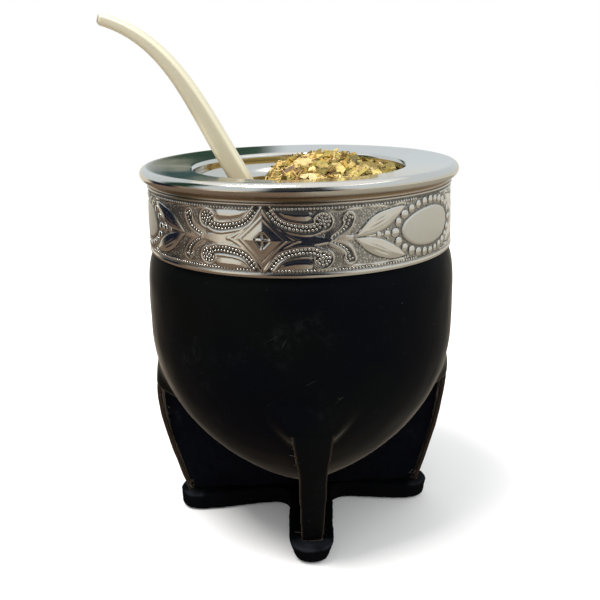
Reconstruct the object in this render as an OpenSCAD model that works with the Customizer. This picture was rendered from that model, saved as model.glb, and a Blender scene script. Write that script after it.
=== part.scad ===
// Footed mate: a calabash in a leather cover that stands on four leather legs, each faced
// with a strip of skin, and on a cross-shaped sole. It has a metal collar, a curved metal
// straw and a heap of dry herb.
// Millimetres, +Z up, origin in the middle of the sole's underside, straw leaning to -X.

/* [Whole cup] */
// Height of the highest ring of the collar above the table
cup_h = 107.8; // [100:0.1:130]
// Turn of the four legs and the sole about the vertical axis, in degrees
leg_turn = 2.8; // [0:0.1:20]

/* [Leather cover] */
// Widest diameter of the leather belly
belly_d = 88.8; // [80:0.2:106]
// Height at which the belly turns in towards its foot
belly_turn_z = 62; // [52:0.5:70]
// How round the belly turns in at its widest
belly_turn_power = 2.2; // [1.5:0.05:2.8]
// How round the belly ends at its foot
belly_foot_power = 1.04; // [1:0.01:1.6]
// How late the upper belly draws in under the collar
shoulder_power = 5.5; // [3:0.5:9]
// Thickness of the leather
leather_t = 1.6; // [1.2:0.1:2.4]
// Height of leather tucked up inside the collar
leather_tuck = 12; // [6:0.5:13]

/* [Gourd] */
// Wall of the dried gourd at its belly
gourd_t = 4.2; // [3:0.1:5]
// Straight neck of the gourd below the leather's top
gourd_neck_h = 8; // [5:0.5:12]

/* [Legs] */
// Thickness of each suede leg plate
plate_t = 5; // [4:0.1:6]
// Height at which a leg's skin strip leaves the belly
strip_top_z = 51; // [48:0.5:56]
// How far the upper handle of the leg's outer curve stands out past the belly's widest
leg_swell = 2.5; // [1:0.1:5]
// How far the lower handle of that curve lies inside the belly's widest
leg_draw = 3; // [1:0.1:6]
// Radius at which each leg's outer edge meets the sole: right, back, left, front
leg_foot_r = [36.9, 36.6, 36.9, 34.2]; // [32:0.1:37.4]
// How far each leg stands out past that curve: right, back, left, front
leg_out = [-0.8, -0.2, 0.3, 0]; // [-1:0.1:0.5]
// Width of the skin strip at its foot
strip_foot_w = 6; // [5.2:0.1:8]
// Gain in the strip's width for each millimetre of height
strip_taper = 0.053; // [0.03:0.001:0.08]
// Extra width of the strip where it spreads into the belly
strip_flare = 11.5; // [6:0.1:14]
// Height over which that spread dies away
strip_flare_h = 7; // [4:0.1:9]

/* [Sole] */
// Thickness of the sole
sole_t = 5.5; // [4:0.1:7]
// Reach of each lobe from the middle: right, back, left, front
lobe_reach = [39.2, 38.8, 39.7, 38.9]; // [37.5:0.1:42]
// Half width of each lobe at its waist
lobe_waist = [4.6, 5.6, 4.3, 6.8]; // [3:0.1:8]
// Half width of each lobe near its end
lobe_end = [6.0, 6.5, 6.6, 6.6]; // [5.5:0.1:8]
// Sideways shift of each lobe's waist
lobe_shift = [1.6, -0.6, 0, 1.2]; // [-2:0.1:2]
// How far each lobe's wall draws in towards the table
lobe_undercut = [0.8, 1.0, 0.2, 1.7]; // [0:0.1:2]
// Length of a lobe's rounded end
lobe_cap = 7.5; // [5:0.1:10]
// Fillet in the corners between the lobes
lobe_fillet = 4.5; // [2:0.1:6]
// Rounding of the sole's worn edges
sole_round = 0.6; // [0.3:0.1:1.2]

/* [Collar] */
// Outer diameter of the collar band at its bottom
band_d = 86.8; // [80:0.2:104]
// Height of the whole collar below its highest ring
collar_h = 23.3; // [18:0.1:26]
// Height of the neck and the rolled edge above the band
neck_h = 5.5; // [4.5:0.1:7]
// How much narrower the band is at its top, as a radius
band_taper = 0.5; // [0:0.1:1]
// Thickness of the sheet metal
sheet_t = 0.8; // [0.6:0.1:1]
// Radius of the rolled edge's round
roll_r = 1.8; // [1.5:0.1:2]
// How far the rolled edge stands out past the top of the band
roll_out = 2.1; // [1.8:0.1:3]
// Depth of the hollow neck behind the top of the band
neck_in = 0.45; // [0.2:0.05:0.8]
// Diameter of the mouth
mouth_d = 60; // [48:0.5:64]
// Fall of the lip from the rolled edge to the mouth
lip_fall = 1; // [0:0.1:1.5]
// Rounding of the mouth's edge
mouth_round = 1.2; // [0.9:0.1:1.6]
// Depth of the sleeve inside the mouth
sleeve_h = 15; // [10:0.5:18]
// Height of the fine bead between the band and the neck
bead_h = 0.6; // [0.4:0.1:0.8]

/* [Straw] */
// Gap between the mouth's edge and the straw, at the height of the lip
straw_gap = 7.6; // [5:0.1:12]
// Sideways lean of the straight part for each millimetre of height
straw_lean = 0.55; // [0.45:0.01:0.6]
// How far the bent part reaches sideways from the lip to its tip
straw_reach = 33.9; // [28:0.1:40]
// How far the tip stands above the lip
straw_rise = 39.2; // [32:0.1:46]
// Length over which the bend starts, measured up from the lip
straw_bend_up = 17.8; // [12:0.1:20]
// Length over which the bend ends, measured back from the tip
straw_bend_back = 18; // [14:0.1:22]
// How far the mouthpiece rises over that length
straw_tip_rise = 5.2; // [2:0.1:7]
// Width of the tube along its straight part
straw_w = 6; // [5.4:0.1:7]
// Thickness of the flattened mouthpiece
straw_tip_t = 3.4; // [2.6:0.1:4]
// Width of the flattened mouthpiece
straw_tip_w = 7.4; // [6.4:0.1:9]
// Wall of the tube
straw_wall = 0.7; // [0.5:0.05:0.9]
// How square the tube's round is: 2 is an ellipse
straw_square = 2.5; // [2:0.1:3]

/* [Herb] */
// Top of the heap above the mouth's edge
heap_rise = 3.9; // [2:0.1:5]
// Depth of the low side, by the straw, below the mouth's edge
heap_low = 13; // [7:0.1:13.5]
// Place of the steep face between the two sides, along X, at the back of the mouth
heap_face_x = -2; // [-5:0.5:0]
// How far that face stands out towards the straw from there on to the front
heap_lead = 9; // [4:0.5:10]
// Half the width of that steep face
heap_face_w = 6; // [4:0.5:7]
// How far the heap falls away behind its top, at the side away from the straw
heap_fall = 3.4; // [0:0.1:4]
// Place of the heap's top along X
heap_top_x = 8; // [2:0.5:10]
// Height of the lumps of flakes in the heap's face
heap_lump = 0.8; // [0:0.1:1.2]

/* [Hidden] */
$fn = 96;

// Clearances between pieces that rest in or on each other
leather_fit = 0.1;
collar_fit = 0.1;
sleeve_fit = 0.2;
herb_fit = 0.15;
plate_fit = 0.1;
strip_fit = 0.1;

// Levels and radii that follow from the sizes above
band_z = cup_h - collar_h;
neck_z = cup_h - neck_h;
mouth_r = mouth_d / 2;
mouth_z = cup_h - lip_fall;
belly_r = belly_d / 2;
belly_foot_z = sole_t;
collar_in_r = band_d / 2 - sheet_t;
leather_band_r = collar_in_r - collar_fit;
leather_top_r = leather_band_r - band_taper * leather_tuck / (collar_h - neck_h);
leather_top_z = band_z + leather_tuck;
gourd_neck_r = leather_top_r - leather_t - leather_fit;
gourd_top_z = mouth_z - sheet_t - sleeve_fit - mouth_round;
gourd_mouth_r = mouth_r + sheet_t + sleeve_fit;
sleeve_end_z = mouth_z - sleeve_h;
cavity_z = belly_foot_z + leather_t + gourd_t;

STRIP_NAMES = ["strip_right", "strip_back", "strip_left", "strip_front"];
LEG_NAMES = ["leg_right", "leg_back", "leg_left", "leg_front"];

function clamp01(t) = min(1, max(0, t));
function smooth(t) = let(s = clamp01(t)) s * s * (3 - 2 * s);
function mix(a, b, t) = a + (b - a) * t;
function spread(from, to, n) = [for (i = [0:n]) mix(from, to, i / n)];

// ---- Belly: radius of the leather's outside at height z ----
// Below the turn it is a superellipse that ends on the sole, above it draws in to the collar.
function lower_r(z, r, turn, foot) =
    r * pow(1 - pow(clamp01((turn - z) / (turn - foot)), belly_turn_power), 1 / belly_foot_power);
function upper_r(z) =
    let(rise = clamp01((z - belly_turn_z) / (band_z - belly_turn_z)))
    belly_r - (belly_r - leather_band_r) * pow(rise, shoulder_power);
function leather_r(z) =
    z < belly_turn_z ? lower_r(z, belly_r, belly_turn_z, belly_foot_z) : upper_r(z);

// The same form, drawn in by t all round, for the layers inside the leather
function inner_r(z, t) =
    z < belly_turn_z ? lower_r(z, belly_r - t, belly_turn_z, belly_foot_z + t) : upper_r(z) - t;

// Heights of the profile's points, closer together towards the foot where it rounds off
BELLY_STEPS = 14;
function foot_heights(bottom) =
    [for (i = [0:BELLY_STEPS]) mix(bottom, belly_turn_z, pow(i / BELLY_STEPS, 1.5))];
function shell_heights(bottom, top) =
    concat(foot_heights(bottom), spread(belly_turn_z, min(top, band_z), 6), top > band_z ? [top] : []);
function profile(bottom, top, t) = [for (z = shell_heights(bottom, top)) [inner_r(z, t), z]];
function reversed(list) = [for (i = [len(list) - 1:-1:0]) list[i]];

// ---- Gourd: the hard shell inside the leather, open at the mouth ----
cavity_t = leather_t + gourd_t;
cavity_top_z = leather_top_z - gourd_neck_h;
function cavity_r(z) = z < cavity_top_z ? inner_r(z, cavity_t) :
    mix(inner_r(cavity_top_z, cavity_t), gourd_mouth_r, smooth((z - cavity_top_z) / gourd_neck_h));

module gourd() {
    outside = concat(profile(belly_foot_z + leather_t + leather_fit, band_z, leather_t + leather_fit),
                     [[gourd_neck_r, leather_top_z], [gourd_neck_r, gourd_top_z]]);
    neck = [for (z = spread(cavity_top_z, leather_top_z, 6)) [cavity_r(z), z]];
    inside = concat(profile(cavity_z, cavity_top_z, cavity_t), neck, [[gourd_mouth_r, gourd_top_z]]);
    color("#7a5a34") rotate_extrude() polygon(concat(outside, reversed(inside)));
}

// ---- Leather cover: the belly's skin, tucked up inside the collar ----
module leather_cover() {
    outside = concat(profile(belly_foot_z, band_z, 0), [[leather_top_r, leather_top_z]]);
    inside = concat(profile(belly_foot_z + leather_t, band_z, leather_t),
                    [[leather_top_r - leather_t, leather_top_z]]);
    color("#1b1a1c") rotate_extrude() polygon(concat(outside, reversed(inside)));
}

// ---- Strips: skin that leaves the belly and runs down the outer edge of each leg ----
// Outer curve of a leg, a cubic in height from the belly to the sole
function ridge_r(z, i) =
    let(t = (strip_top_z - z) / (strip_top_z - sole_t), s = 1 - t)
    s * s * s * leather_r(strip_top_z) + 3 * s * s * t * (belly_r + leg_swell)
    + 3 * s * t * t * (belly_r - leg_draw) + t * t * t * leg_foot_r[i] + leg_out[i] * smooth(2.5 * t);
function strip_w(z) =
    strip_foot_w + strip_taper * (z - sole_t) + strip_flare * exp((z - strip_top_z) / strip_flare_h);

STRIP_STEPS = 14;
// Height between the belly's turn into the strip and the strip's own thin top edge
STRIP_LAP = 2;
strip_heights = spread(sole_t, strip_top_z - STRIP_LAP, STRIP_STEPS);

module leg_frame(i) {
    rotate([0, 0, i * 90 + leg_turn]) children();
}

// The strip lies on a ring that has the leg's outer curve as its section. It thins out
// towards its top, where the belly behind it comes forward.
module strip(i) {
    outer = [for (z = strip_heights) [ridge_r(z, i), z]];
    inner = [for (z = strip_heights) [max(ridge_r(z, i) - leather_t, leather_r(z) + strip_fit), z]];
    sides = concat([for (z = strip_heights) [strip_w(z) / 2, z]],
                   [for (z = reversed(strip_heights)) [-strip_w(z) / 2, z]]);
    color("#1b1a1c") leg_frame(i) intersection() {
        rotate_extrude() polygon(concat(outer, reversed(inner)));
        rotate([90, 0, 90]) linear_extrude(2 * belly_r) polygon(sides);
    }
}

// ---- Legs: suede plates between the belly, the skin strip and the sole ----
leg_top_z = strip_top_z - 4;
plate_heights = spread(sole_t, leg_top_z, STRIP_STEPS);

module leg(i) {
    root = plate_t / 2 + plate_fit;
    edge = [for (z = plate_heights) [ridge_r(z, i) - leather_t - plate_fit, z]];
    below = [for (p = edge) [max(root, min(leather_r(p[1]) + plate_fit, p[0])), p[1]]];
    color("#242530") leg_frame(i) rotate([90, 0, 0])
        linear_extrude(plate_t, center = true) polygon(concat(edge, reversed(below)));
}

// ---- Sole: a cross of four rounded lobes cut from thick sole leather ----
SIDE_STEPS = 4;
CAP_STEPS = 12;
FILLET_STEPS = 4;
// A lobe's half width swells from its waist to its end along its side
function lobe_side(i, hand, f) = mix(lobe_shift[i] + hand * lobe_waist[i], hand * lobe_end[i], smooth(f));
function lobe_outline(i) = let(
    before = (i + 3) % 4,
    after = (i + 1) % 4,
    start = lobe_waist[before] + lobe_shift[before] + lobe_fillet,
    stop = lobe_waist[after] - lobe_shift[after] + lobe_fillet,
    cap = lobe_reach[i] - lobe_cap,
    corner = [stop, lobe_shift[i] + lobe_waist[i] + lobe_fillet])
    concat(
        [for (k = [0:SIDE_STEPS - 1]) let(f = k / SIDE_STEPS) [mix(start, cap, f), lobe_side(i, -1, f)]],
        [for (k = [0:CAP_STEPS]) let(a = -90 + 180 * k / CAP_STEPS)
            [cap + lobe_cap * pow(cos(a), 0.9), lobe_end[i] * sign(sin(a)) * pow(abs(sin(a)), 0.9)]],
        [for (k = [SIDE_STEPS - 1:-1:0]) let(f = k / SIDE_STEPS) [mix(stop, cap, f), lobe_side(i, 1, f)]],
        [for (k = [1:FILLET_STEPS - 1]) let(a = 90 * k / FILLET_STEPS)
            corner - lobe_fillet * [sin(a), cos(a)]]);
function turned(p, a) = [p[0] * cos(a) - p[1] * sin(a), p[0] * sin(a) + p[1] * cos(a)];

// Each outline point carries its place and how far its wall draws in at the table
sole_points = [for (i = [0:3], p = lobe_outline(i))
    [turned(p, i * 90 + leg_turn), lobe_undercut[i] * smooth(p[0] / lobe_reach[i])]];
sole_count = len(sole_points);
function sole_inward(k) = let(
    d = sole_points[(k + 1) % sole_count][0] - sole_points[(k + sole_count - 1) % sole_count][0])
    [-d[1], d[0]] / norm(d);
// Rings from the table up: height, share of the undercut, and the edge's rounding
sole_rings = [
    [0, 1, sole_round],
    [sole_round * 0.3, 1, sole_round * 0.3],
    [sole_round, 0.9, 0],
    [sole_t - sole_round, 0, 0],
    [sole_t - sole_round * 0.3, 0, sole_round * 0.3],
    [sole_t, 0, sole_round]];

// Side faces between rings of n points that run anticlockwise seen from above
function ring_sides(rings, n) = [for (j = [0:rings - 2], k = [0:n - 1]) let(m = (k + 1) % n)
    each [[j * n + k, (j + 1) * n + m, j * n + m], [j * n + k, (j + 1) * n + k, (j + 1) * n + m]]];

// The two flat faces are fans about the cup's axis
module sole() {
    rings = len(sole_rings);
    under = rings * sole_count;
    top = (rings - 1) * sole_count;
    points = concat([for (ring = sole_rings, k = [0:sole_count - 1]) let(
        p = sole_points[k],
        q = p[0] + sole_inward(k) * (p[1] * ring[1] + ring[2])) [q[0], q[1], ring[0]]],
        [[0, 0, 0], [0, 0, sole_t]]);
    ends = [for (k = [0:sole_count - 1]) let(m = (k + 1) % sole_count)
        each [[under, k, m], [under + 1, top + m, top + k]]];
    color("#23262e") polyhedron(points, concat(ends, ring_sides(rings, sole_count)), convexity = 6);
}

// ---- Collar: one sheet from the band, over the rolled edge and the lip, into the mouth ----
band_top_r = band_d / 2 - band_taper;
roll_at = [band_top_r + roll_out - roll_r, cup_h - roll_r];
neck_r = band_top_r - neck_in;
neck_mid_z = mix(neck_z + bead_h, roll_at[1] - roll_r, 0.35);
function arc(at, r, from, to, n) = [for (a = spread(from, to, n)) at + r * [cos(a), sin(a)]];

// The visible outside of the sheet, from the foot of the band to the foot of the sleeve
sheet_line = concat(
    [[band_d / 2, band_z], [band_top_r, neck_z]],
    arc([band_top_r - bead_h * 0.2, neck_z + bead_h / 2], bead_h / 2, -70, 70, 4),
    [[neck_r + 0.1, neck_z + bead_h + 0.15], [neck_r, neck_mid_z], [neck_r + 0.2, neck_mid_z + 0.6]],
    arc(roll_at, roll_r, -75, 90, 12),
    arc([mouth_r + mouth_round, mouth_z - mouth_round], mouth_round, 95, 180, 6),
    [[mouth_r, sleeve_end_z]]);
function line_inward(i) = let(
    last = len(sheet_line) - 1,
    d = sheet_line[min(i + 1, last)] - sheet_line[max(i - 1, 0)])
    [-d[1], d[0]] / norm(d);

module collar() {
    back = [for (i = [0:len(sheet_line) - 1]) sheet_line[i] + line_inward(i) * sheet_t];
    color("#c9c6bd") rotate_extrude() polygon(concat(sheet_line, reversed(back)));
}

// ---- Straw: a hollow tube, straight in the herb, bent over and flattened at its tip ----
straw_half = straw_w / 2;
straw_lip = [-(mouth_r - straw_gap - straw_half), cup_h];
straw_tip = straw_lip + [-straw_reach, straw_rise];
straw_bend = [
    straw_lip,
    straw_lip + straw_bend_up * [-straw_lean, 1],
    straw_tip + [straw_bend_back, -straw_tip_rise],
    straw_tip];
function bend_point(t) = let(s = 1 - t)
    s * s * s * straw_bend[0] + 3 * s * s * t * straw_bend[1]
    + 3 * s * t * t * straw_bend[2] + t * t * t * straw_bend[3];
function straight_point(z) = straw_lip + [straw_lean, -1] * (straw_lip[1] - z);
// The straight part ends where its lower corner meets the gourd's wall
function contact_z(z) = let(
    corner = straight_point(z)[0] + straw_half * 1.2 + 2 * herb_fit,
    wall = cavity_r(z) - straw_half * 0.5)
    corner > wall ? z : contact_z(z - 0.5);
straw_end_z = contact_z(band_z);

STRAIGHT_STEPS = 4;
BEND_STEPS = 22;
straw_line = concat([for (z = spread(straw_end_z, cup_h, STRAIGHT_STEPS)) straight_point(z)],
                    [for (i = [1:BEND_STEPS]) bend_point(i / BEND_STEPS)]);
// Share of the bent part that a ring has passed, for the flattening
function bend_share(i) = clamp01((i - STRAIGHT_STEPS) / BEND_STEPS);
function ring_half(i) = let(f = smooth(bend_share(i)))
    [mix(straw_w, straw_tip_t, f) / 2, mix(straw_w, straw_tip_w, f) / 2];

STRAW_SIDES = 20;
function signed_pow(v, p) = sign(v) * pow(abs(v), p);
function straw_ring(i, grow) = let(
    last = len(straw_line) - 1,
    d = straw_line[min(i + 1, last)] - straw_line[max(i - 1, 0)],
    across = [d[1], -d[0]] / norm(d),
    half = ring_half(i))
    [for (k = [0:STRAW_SIDES - 1]) let(
        a = 360 * k / STRAW_SIDES,
        u = (half[0] + grow) * signed_pow(cos(a), 2 / straw_square),
        v = (half[1] + grow) * signed_pow(sin(a), 2 / straw_square))
        [straw_line[i][0] + across[0] * u, v, straw_line[i][1] + across[1] * u]];

module straw_body(grow, from, to) {
    rings = to - from + 1;
    points = [for (i = [from:to]) each straw_ring(i, grow)];
    ends = [[for (k = [0:STRAW_SIDES - 1]) k],
            [for (k = [STRAW_SIDES - 1:-1:0]) (rings - 1) * STRAW_SIDES + k]];
    polyhedron(points, concat(ends, ring_sides(rings, STRAW_SIDES)), convexity = 6);
}

// The tube as one wall: outer rings up, inner rings down
module bombilla() {
    last = len(straw_line) - 1;
    rings = concat([for (i = [0:last]) straw_ring(i, 0)],
                   [for (i = [last:-1:0]) straw_ring(i, -straw_wall)]);
    loops = len(rings);
    points = [for (ring = rings) each ring];
    faces = [for (j = [0:loops - 1], k = [0:STRAW_SIDES - 1]) let(
        m = (k + 1) % STRAW_SIDES,
        here = j * STRAW_SIDES,
        next = ((j + 1) % loops) * STRAW_SIDES)
        each [[here + k, next + m, here + m], [here + k, next + k, next + m]]];
    color("#cfc9b6") polyhedron(points, faces, convexity = 8);
}

// ---- Herb: the heap out to its uneven top, filling the gourd below ----
HERB_SIDES = 40;
HERB_RINGS = 9;
function lumps(x, y) =
    heap_lump * (sin(x * 47 + y * 31) * sin(y * 53 - x * 17) * 0.7 + sin(x * 23 - y * 29) * 0.5);
// Width and depth of the dome, and how far below the mouth's edge it starts at the sleeve
DOME_X = 17;
DOME_Y = 19;
DOME_DROP = 1.2;
// How much higher the low side lies at the front than in the middle
LOW_RISE = 2.2;
// Where the fall behind the top starts, and where the steep face turns back, with their lengths
FALL_X = 13;
FALL_Y = -4;
FALL_L = 10;
TURN_Y = 6;
TURN_L = 12;
function heap_dome(x, y) = exp(-pow((x - heap_top_x) / DOME_X, 2) - pow((y - 1) / DOME_Y, 2));
function heap_z(x, y) = let(
    high = mouth_z - DOME_DROP + (heap_rise + DOME_DROP) * heap_dome(x, y),
    low = mouth_z - heap_low + LOW_RISE * clamp01(-y / mouth_r),
    fall = heap_fall * smooth((x - FALL_X) / FALL_L) * smooth((y - FALL_Y) / TURN_L),
    face_x = heap_face_x - heap_lead * (1 - smooth((y - TURN_Y) / TURN_L)),
    f = smooth((x - face_x + heap_face_w) / (2 * heap_face_w)))
    mix(low, high - fall, f) + lumps(x, y);
// Under the sleeve the herb spreads out to the gourd's wall, and follows it from there
SPREAD_H = 3;
spread_z = sleeve_end_z - SPREAD_H;
herb_heights = [for (z = shell_heights(cavity_z, cavity_top_z)) if (z > cavity_z && z < spread_z) z];

// Points of one spoke of the heap, from the middle out and down to the bottom
function herb_spoke(a) = let(
    r = mouth_r - herb_fit,
    edge_z = heap_z(r * cos(a), r * sin(a)),
    throat_z = sleeve_end_z - herb_fit)
    concat(
        [for (j = [1:HERB_RINGS]) let(q = r * j / HERB_RINGS)
            [q * cos(a), q * sin(a), heap_z(q * cos(a), q * sin(a))]],
        [for (z = [mix(edge_z, throat_z, 0.5), throat_z]) [r * cos(a), r * sin(a), z]],
        [for (z = concat([spread_z], reversed(herb_heights)))
            let(q = cavity_r(z) - herb_fit) [q * cos(a), q * sin(a), z]]);

module yerba() {
    spokes = [for (k = [0:HERB_SIDES - 1]) herb_spoke(360 * k / HERB_SIDES)];
    n = len(spokes[0]);
    points = concat([for (s = spokes) each s], [[0, 0, heap_z(0, 0)], [0, 0, cavity_z + herb_fit]]);
    top = HERB_SIDES * n;
    bottom = top + 1;
    sides = [for (k = [0:HERB_SIDES - 1], j = [0:n - 2])
        let(here = k * n, next = ((k + 1) % HERB_SIDES) * n)
        each [[here + j, next + j + 1, here + j + 1], [here + j, next + j, next + j + 1]]];
    caps = [for (k = [0:HERB_SIDES - 1]) let(here = k * n, next = ((k + 1) % HERB_SIDES) * n)
        each [[top, next, here], [bottom, here + n - 1, next + n - 1]]];
    color("#b7a155") difference() {
        polyhedron(points, concat(sides, caps), convexity = 6);
        straw_body(herb_fit, 0, STRAIGHT_STEPS + 1);
    }
}

gourd();
leather_cover();
for (i = [0:3]) strip(i);
for (i = [0:3]) leg(i);
sole();
collar();
bombilla();
yerba();
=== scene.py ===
"""Looks of a footed mate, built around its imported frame.

Black leather belly on four suede legs, a chased nickel silver collar, a satin straw and a heap
of dry herb. Sizes are in millimetres until a piece is made; angles round the cup are in degrees
from the front, -Y, towards +X.
"""
import math

import bpy
import numpy as np
from mathutils import Matrix, Vector


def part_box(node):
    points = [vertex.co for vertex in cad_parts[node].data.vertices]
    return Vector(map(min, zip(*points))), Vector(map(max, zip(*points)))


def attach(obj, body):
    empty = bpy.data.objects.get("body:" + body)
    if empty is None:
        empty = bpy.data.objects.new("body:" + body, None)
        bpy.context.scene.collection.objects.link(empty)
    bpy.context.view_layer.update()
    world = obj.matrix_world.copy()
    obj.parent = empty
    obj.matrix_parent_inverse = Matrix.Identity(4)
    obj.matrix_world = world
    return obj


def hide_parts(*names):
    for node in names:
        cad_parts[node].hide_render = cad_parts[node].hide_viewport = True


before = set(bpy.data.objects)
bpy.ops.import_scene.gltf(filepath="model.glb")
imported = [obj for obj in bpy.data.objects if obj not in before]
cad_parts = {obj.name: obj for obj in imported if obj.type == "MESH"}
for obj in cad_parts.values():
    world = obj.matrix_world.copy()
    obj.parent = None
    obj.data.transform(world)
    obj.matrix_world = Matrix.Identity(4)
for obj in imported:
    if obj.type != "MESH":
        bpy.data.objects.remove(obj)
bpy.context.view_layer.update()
MM = 0.001


def box_mm(node):
    """Lowest and highest corner of a frame node, in millimetres."""
    low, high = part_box(node)
    return np.array(low) / MM, np.array(high) / MM


# ---- Sizes taken from the frame, with those of the cup's own curves ----
COLLAR_LOW, COLLAR_HIGH = box_mm("collar")
COVER_HIGH = box_mm("leather_cover")[1]
CUP_TOP = COLLAR_HIGH[2]
BAND_FOOT = COLLAR_LOW[2]
COVER_TOP = COVER_HIGH[2]
BELLY_R = COVER_HIGH[0]
SOLE_T = box_mm("sole")[1][2]
# Height where the belly is widest
BELLY_TURN = 62.0
# Thickness of the metal sheet and of the skin
SHEET_T = 0.8
SKIN_T = 1.6
# Radius of the band at its foot and at its top
BAND_R = 43.4
BAND_TOP_R = 42.9
BAND_TOP = CUP_TOP - 5.5
ROLL_R = 1.8
ROLL_AT = (COLLAR_HIGH[0] - ROLL_R, CUP_TOP - ROLL_R)
MOUTH_R = 30.0
MOUTH_Z = CUP_TOP - 1.0
SLEEVE_END = MOUTH_Z - 15.0
# How far the sleeve draws in below its rounded edge
SLEEVE_LEAN = 1.9
# How far the four legs are turned from the front, and where their strips leave the belly
LEG_TURN = 2.8
STRIP_TOP = 51.0
# Width of a strip at its foot, and how much wider it gets with each millimetre up
STRIP_FOOT_W = 6.0
STRIP_GROWTH = 0.053
SIDES = ("right", "back", "left", "front")
# Radius of each leg's foot, and how much further out its curve runs above that
LEG_FOOT_R = dict(right=36.9, back=36.6, left=36.9, front=34.2)
LEG_OUT = dict(right=-0.8, back=-0.2, left=0.3, front=0.0)
LEG_ANGLE = dict(right=90 + LEG_TURN, back=180 + LEG_TURN, left=270 + LEG_TURN, front=LEG_TURN)


# ---- Curves and noise ----
def smooth(t):
    t = np.clip(t, 0, 1)
    return t * t * (3 - 2 * t)


def mix(a, b, t):
    return a + (b - a) * t


def bump(d, width):
    """1 on a line and 0 from width on, with round shoulders."""
    return np.clip(1 - (d / width) ** 2, 0, 1) ** 2


def around(angle):
    """Unit direction of an angle round the cup."""
    a = np.radians(angle)
    return np.stack([np.sin(a), -np.cos(a)], -1)


def ripple(points, scale, seed, waves=9):
    """Smooth uneven noise of about -1 to 1, with features of about scale."""
    rng = np.random.default_rng(seed)
    p = np.asarray(points, float)
    total = np.zeros(p.shape[:-1])
    for _ in range(waves):
        way = rng.normal(size=p.shape[-1])
        way *= rng.uniform(0.7, 1.5) * 2 * math.pi / (scale * np.linalg.norm(way) * 1.6)
        total += np.sin(p @ way + rng.uniform(0, 2 * math.pi))
    return total / math.sqrt(waves)


def through(points, steps=8):
    """A smooth line through a few points."""
    p = np.array(points, float)
    p = np.vstack([2 * p[0] - p[1], p, 2 * p[-1] - p[-2]])
    line = []
    for a, b, c, d in zip(p[:-3], p[1:-2], p[2:-1], p[3:]):
        for t in np.arange(steps) / steps:
            line.append(0.5 * (2 * b + (c - a) * t + (2 * a - 5 * b + 4 * c - d) * t * t
                               + (3 * b - 3 * c + d - a) * t ** 3))
    return np.array(line + [p[-2]])


def to_line(s, t, line):
    """Distance of every (s, t) to a line, and the share of the line passed there."""
    near = np.full(np.shape(s), 1e9)
    share = np.zeros(np.shape(s))
    for i, (a, b) in enumerate(zip(line[:-1], line[1:])):
        d = b - a
        f = np.clip(((s - a[0]) * d[0] + (t - a[1]) * d[1]) / max(d @ d, 1e-9), 0, 1)
        gap = np.hypot(s - a[0] - f * d[0], t - a[1] - f * d[1])
        closer = gap < near
        near = np.where(closer, gap, near)
        share = np.where(closer, (i + f) / (len(line) - 1), share)
    return near, share


def in_outline(s, t, outline):
    """Signed distance to a closed outline, positive inside."""
    closed = np.vstack([outline, outline[:1]])
    inside = np.zeros(np.shape(s), bool)
    for a, b in zip(closed[:-1], closed[1:]):
        crosses = (a[1] > t) != (b[1] > t)
        rise = b[1] - a[1] if abs(b[1] - a[1]) > 1e-9 else 1e-9
        inside ^= crosses & (s < a[0] + (t - a[1]) * (b[0] - a[0]) / rise)
    near = to_line(s, t, closed)[0]
    return np.where(inside, near, -near)


def spaced(line, gap):
    """Points along a line at an even spacing close to gap."""
    steps = np.linalg.norm(np.diff(line, axis=0), axis=1)
    along = np.concatenate([[0], np.cumsum(steps)])
    at = np.linspace(0, along[-1], max(2, round(along[-1] / gap) + 1))
    return np.stack([np.interp(at, along, line[:, 0]), np.interp(at, along, line[:, 1])], -1)


# ---- Making pieces ----
def tube_faces(rings, sides, ring_loop=False, side_loop=True):
    """Four-cornered faces between rings of points, facing out when the rings rise anticlockwise."""
    j, k = np.meshgrid(np.arange(rings if ring_loop else rings - 1),
                       np.arange(sides if side_loop else sides - 1), indexing="ij")
    up, on = (j + 1) % rings, (k + 1) % sides
    return np.stack([j * sides + k, j * sides + on, up * sides + on, up * sides + k], -1).reshape(-1, 4)


def capped_tube(rings, sides, first=0):
    """Faces of an open tube of rings and of its two flat ends, counted from its first point."""
    faces = (tube_faces(rings, sides) + first).tolist()
    start = list(range(first, first + sides))
    end = list(range(first + (rings - 1) * sides, first + rings * sides))
    return faces + [start[::-1], end]


def rounded_square(sides, square):
    """Cosines and sines round a section that is an ellipse at square 2 and boxier above it."""
    a = np.linspace(0, 2 * math.pi, sides + 1)[:-1]
    c, s = np.cos(a), np.sin(a)
    return np.sign(c) * np.abs(c) ** (2 / square), np.sign(s) * np.abs(s) ** (2 / square)


def add_layers(mesh, layers):
    for key, values in layers.items():
        values = np.asarray(values, np.float32)
        colour = values.ndim == 2
        layer = mesh.attributes.new(key, "FLOAT_COLOR" if colour else "FLOAT", "POINT")
        layer.data.foreach_set("color" if colour else "value", values.ravel())


def make_piece(name, points, faces, finish, stands_for=(), layers=None, soft=True):
    """Links a piece given in millimetres, and rides it on the cup."""
    corners = faces.tolist() if isinstance(faces, np.ndarray) else faces
    mesh = bpy.data.meshes.new(name)
    mesh.from_pydata((np.asarray(points) * MM).tolist(), [], corners)
    if soft:
        mesh.shade_smooth()
    add_layers(mesh, layers or {})
    mesh.materials.append(finish)
    piece = bpy.data.objects.new(name, mesh)
    bpy.context.scene.collection.objects.link(piece)
    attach(piece, "root")
    if stands_for:
        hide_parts(*stands_for)
    return piece


def lathe_points(profile, angles):
    """Points of a profile of (radius, height) turned through the angles, one ring per profile point."""
    profile = np.asarray(profile, float)
    flat = profile[:, None, :1] * around(angles)[None]
    high = np.broadcast_to(profile[:, None, 1:], (len(profile), len(angles), 1))
    return np.concatenate([flat, high], -1)


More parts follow.
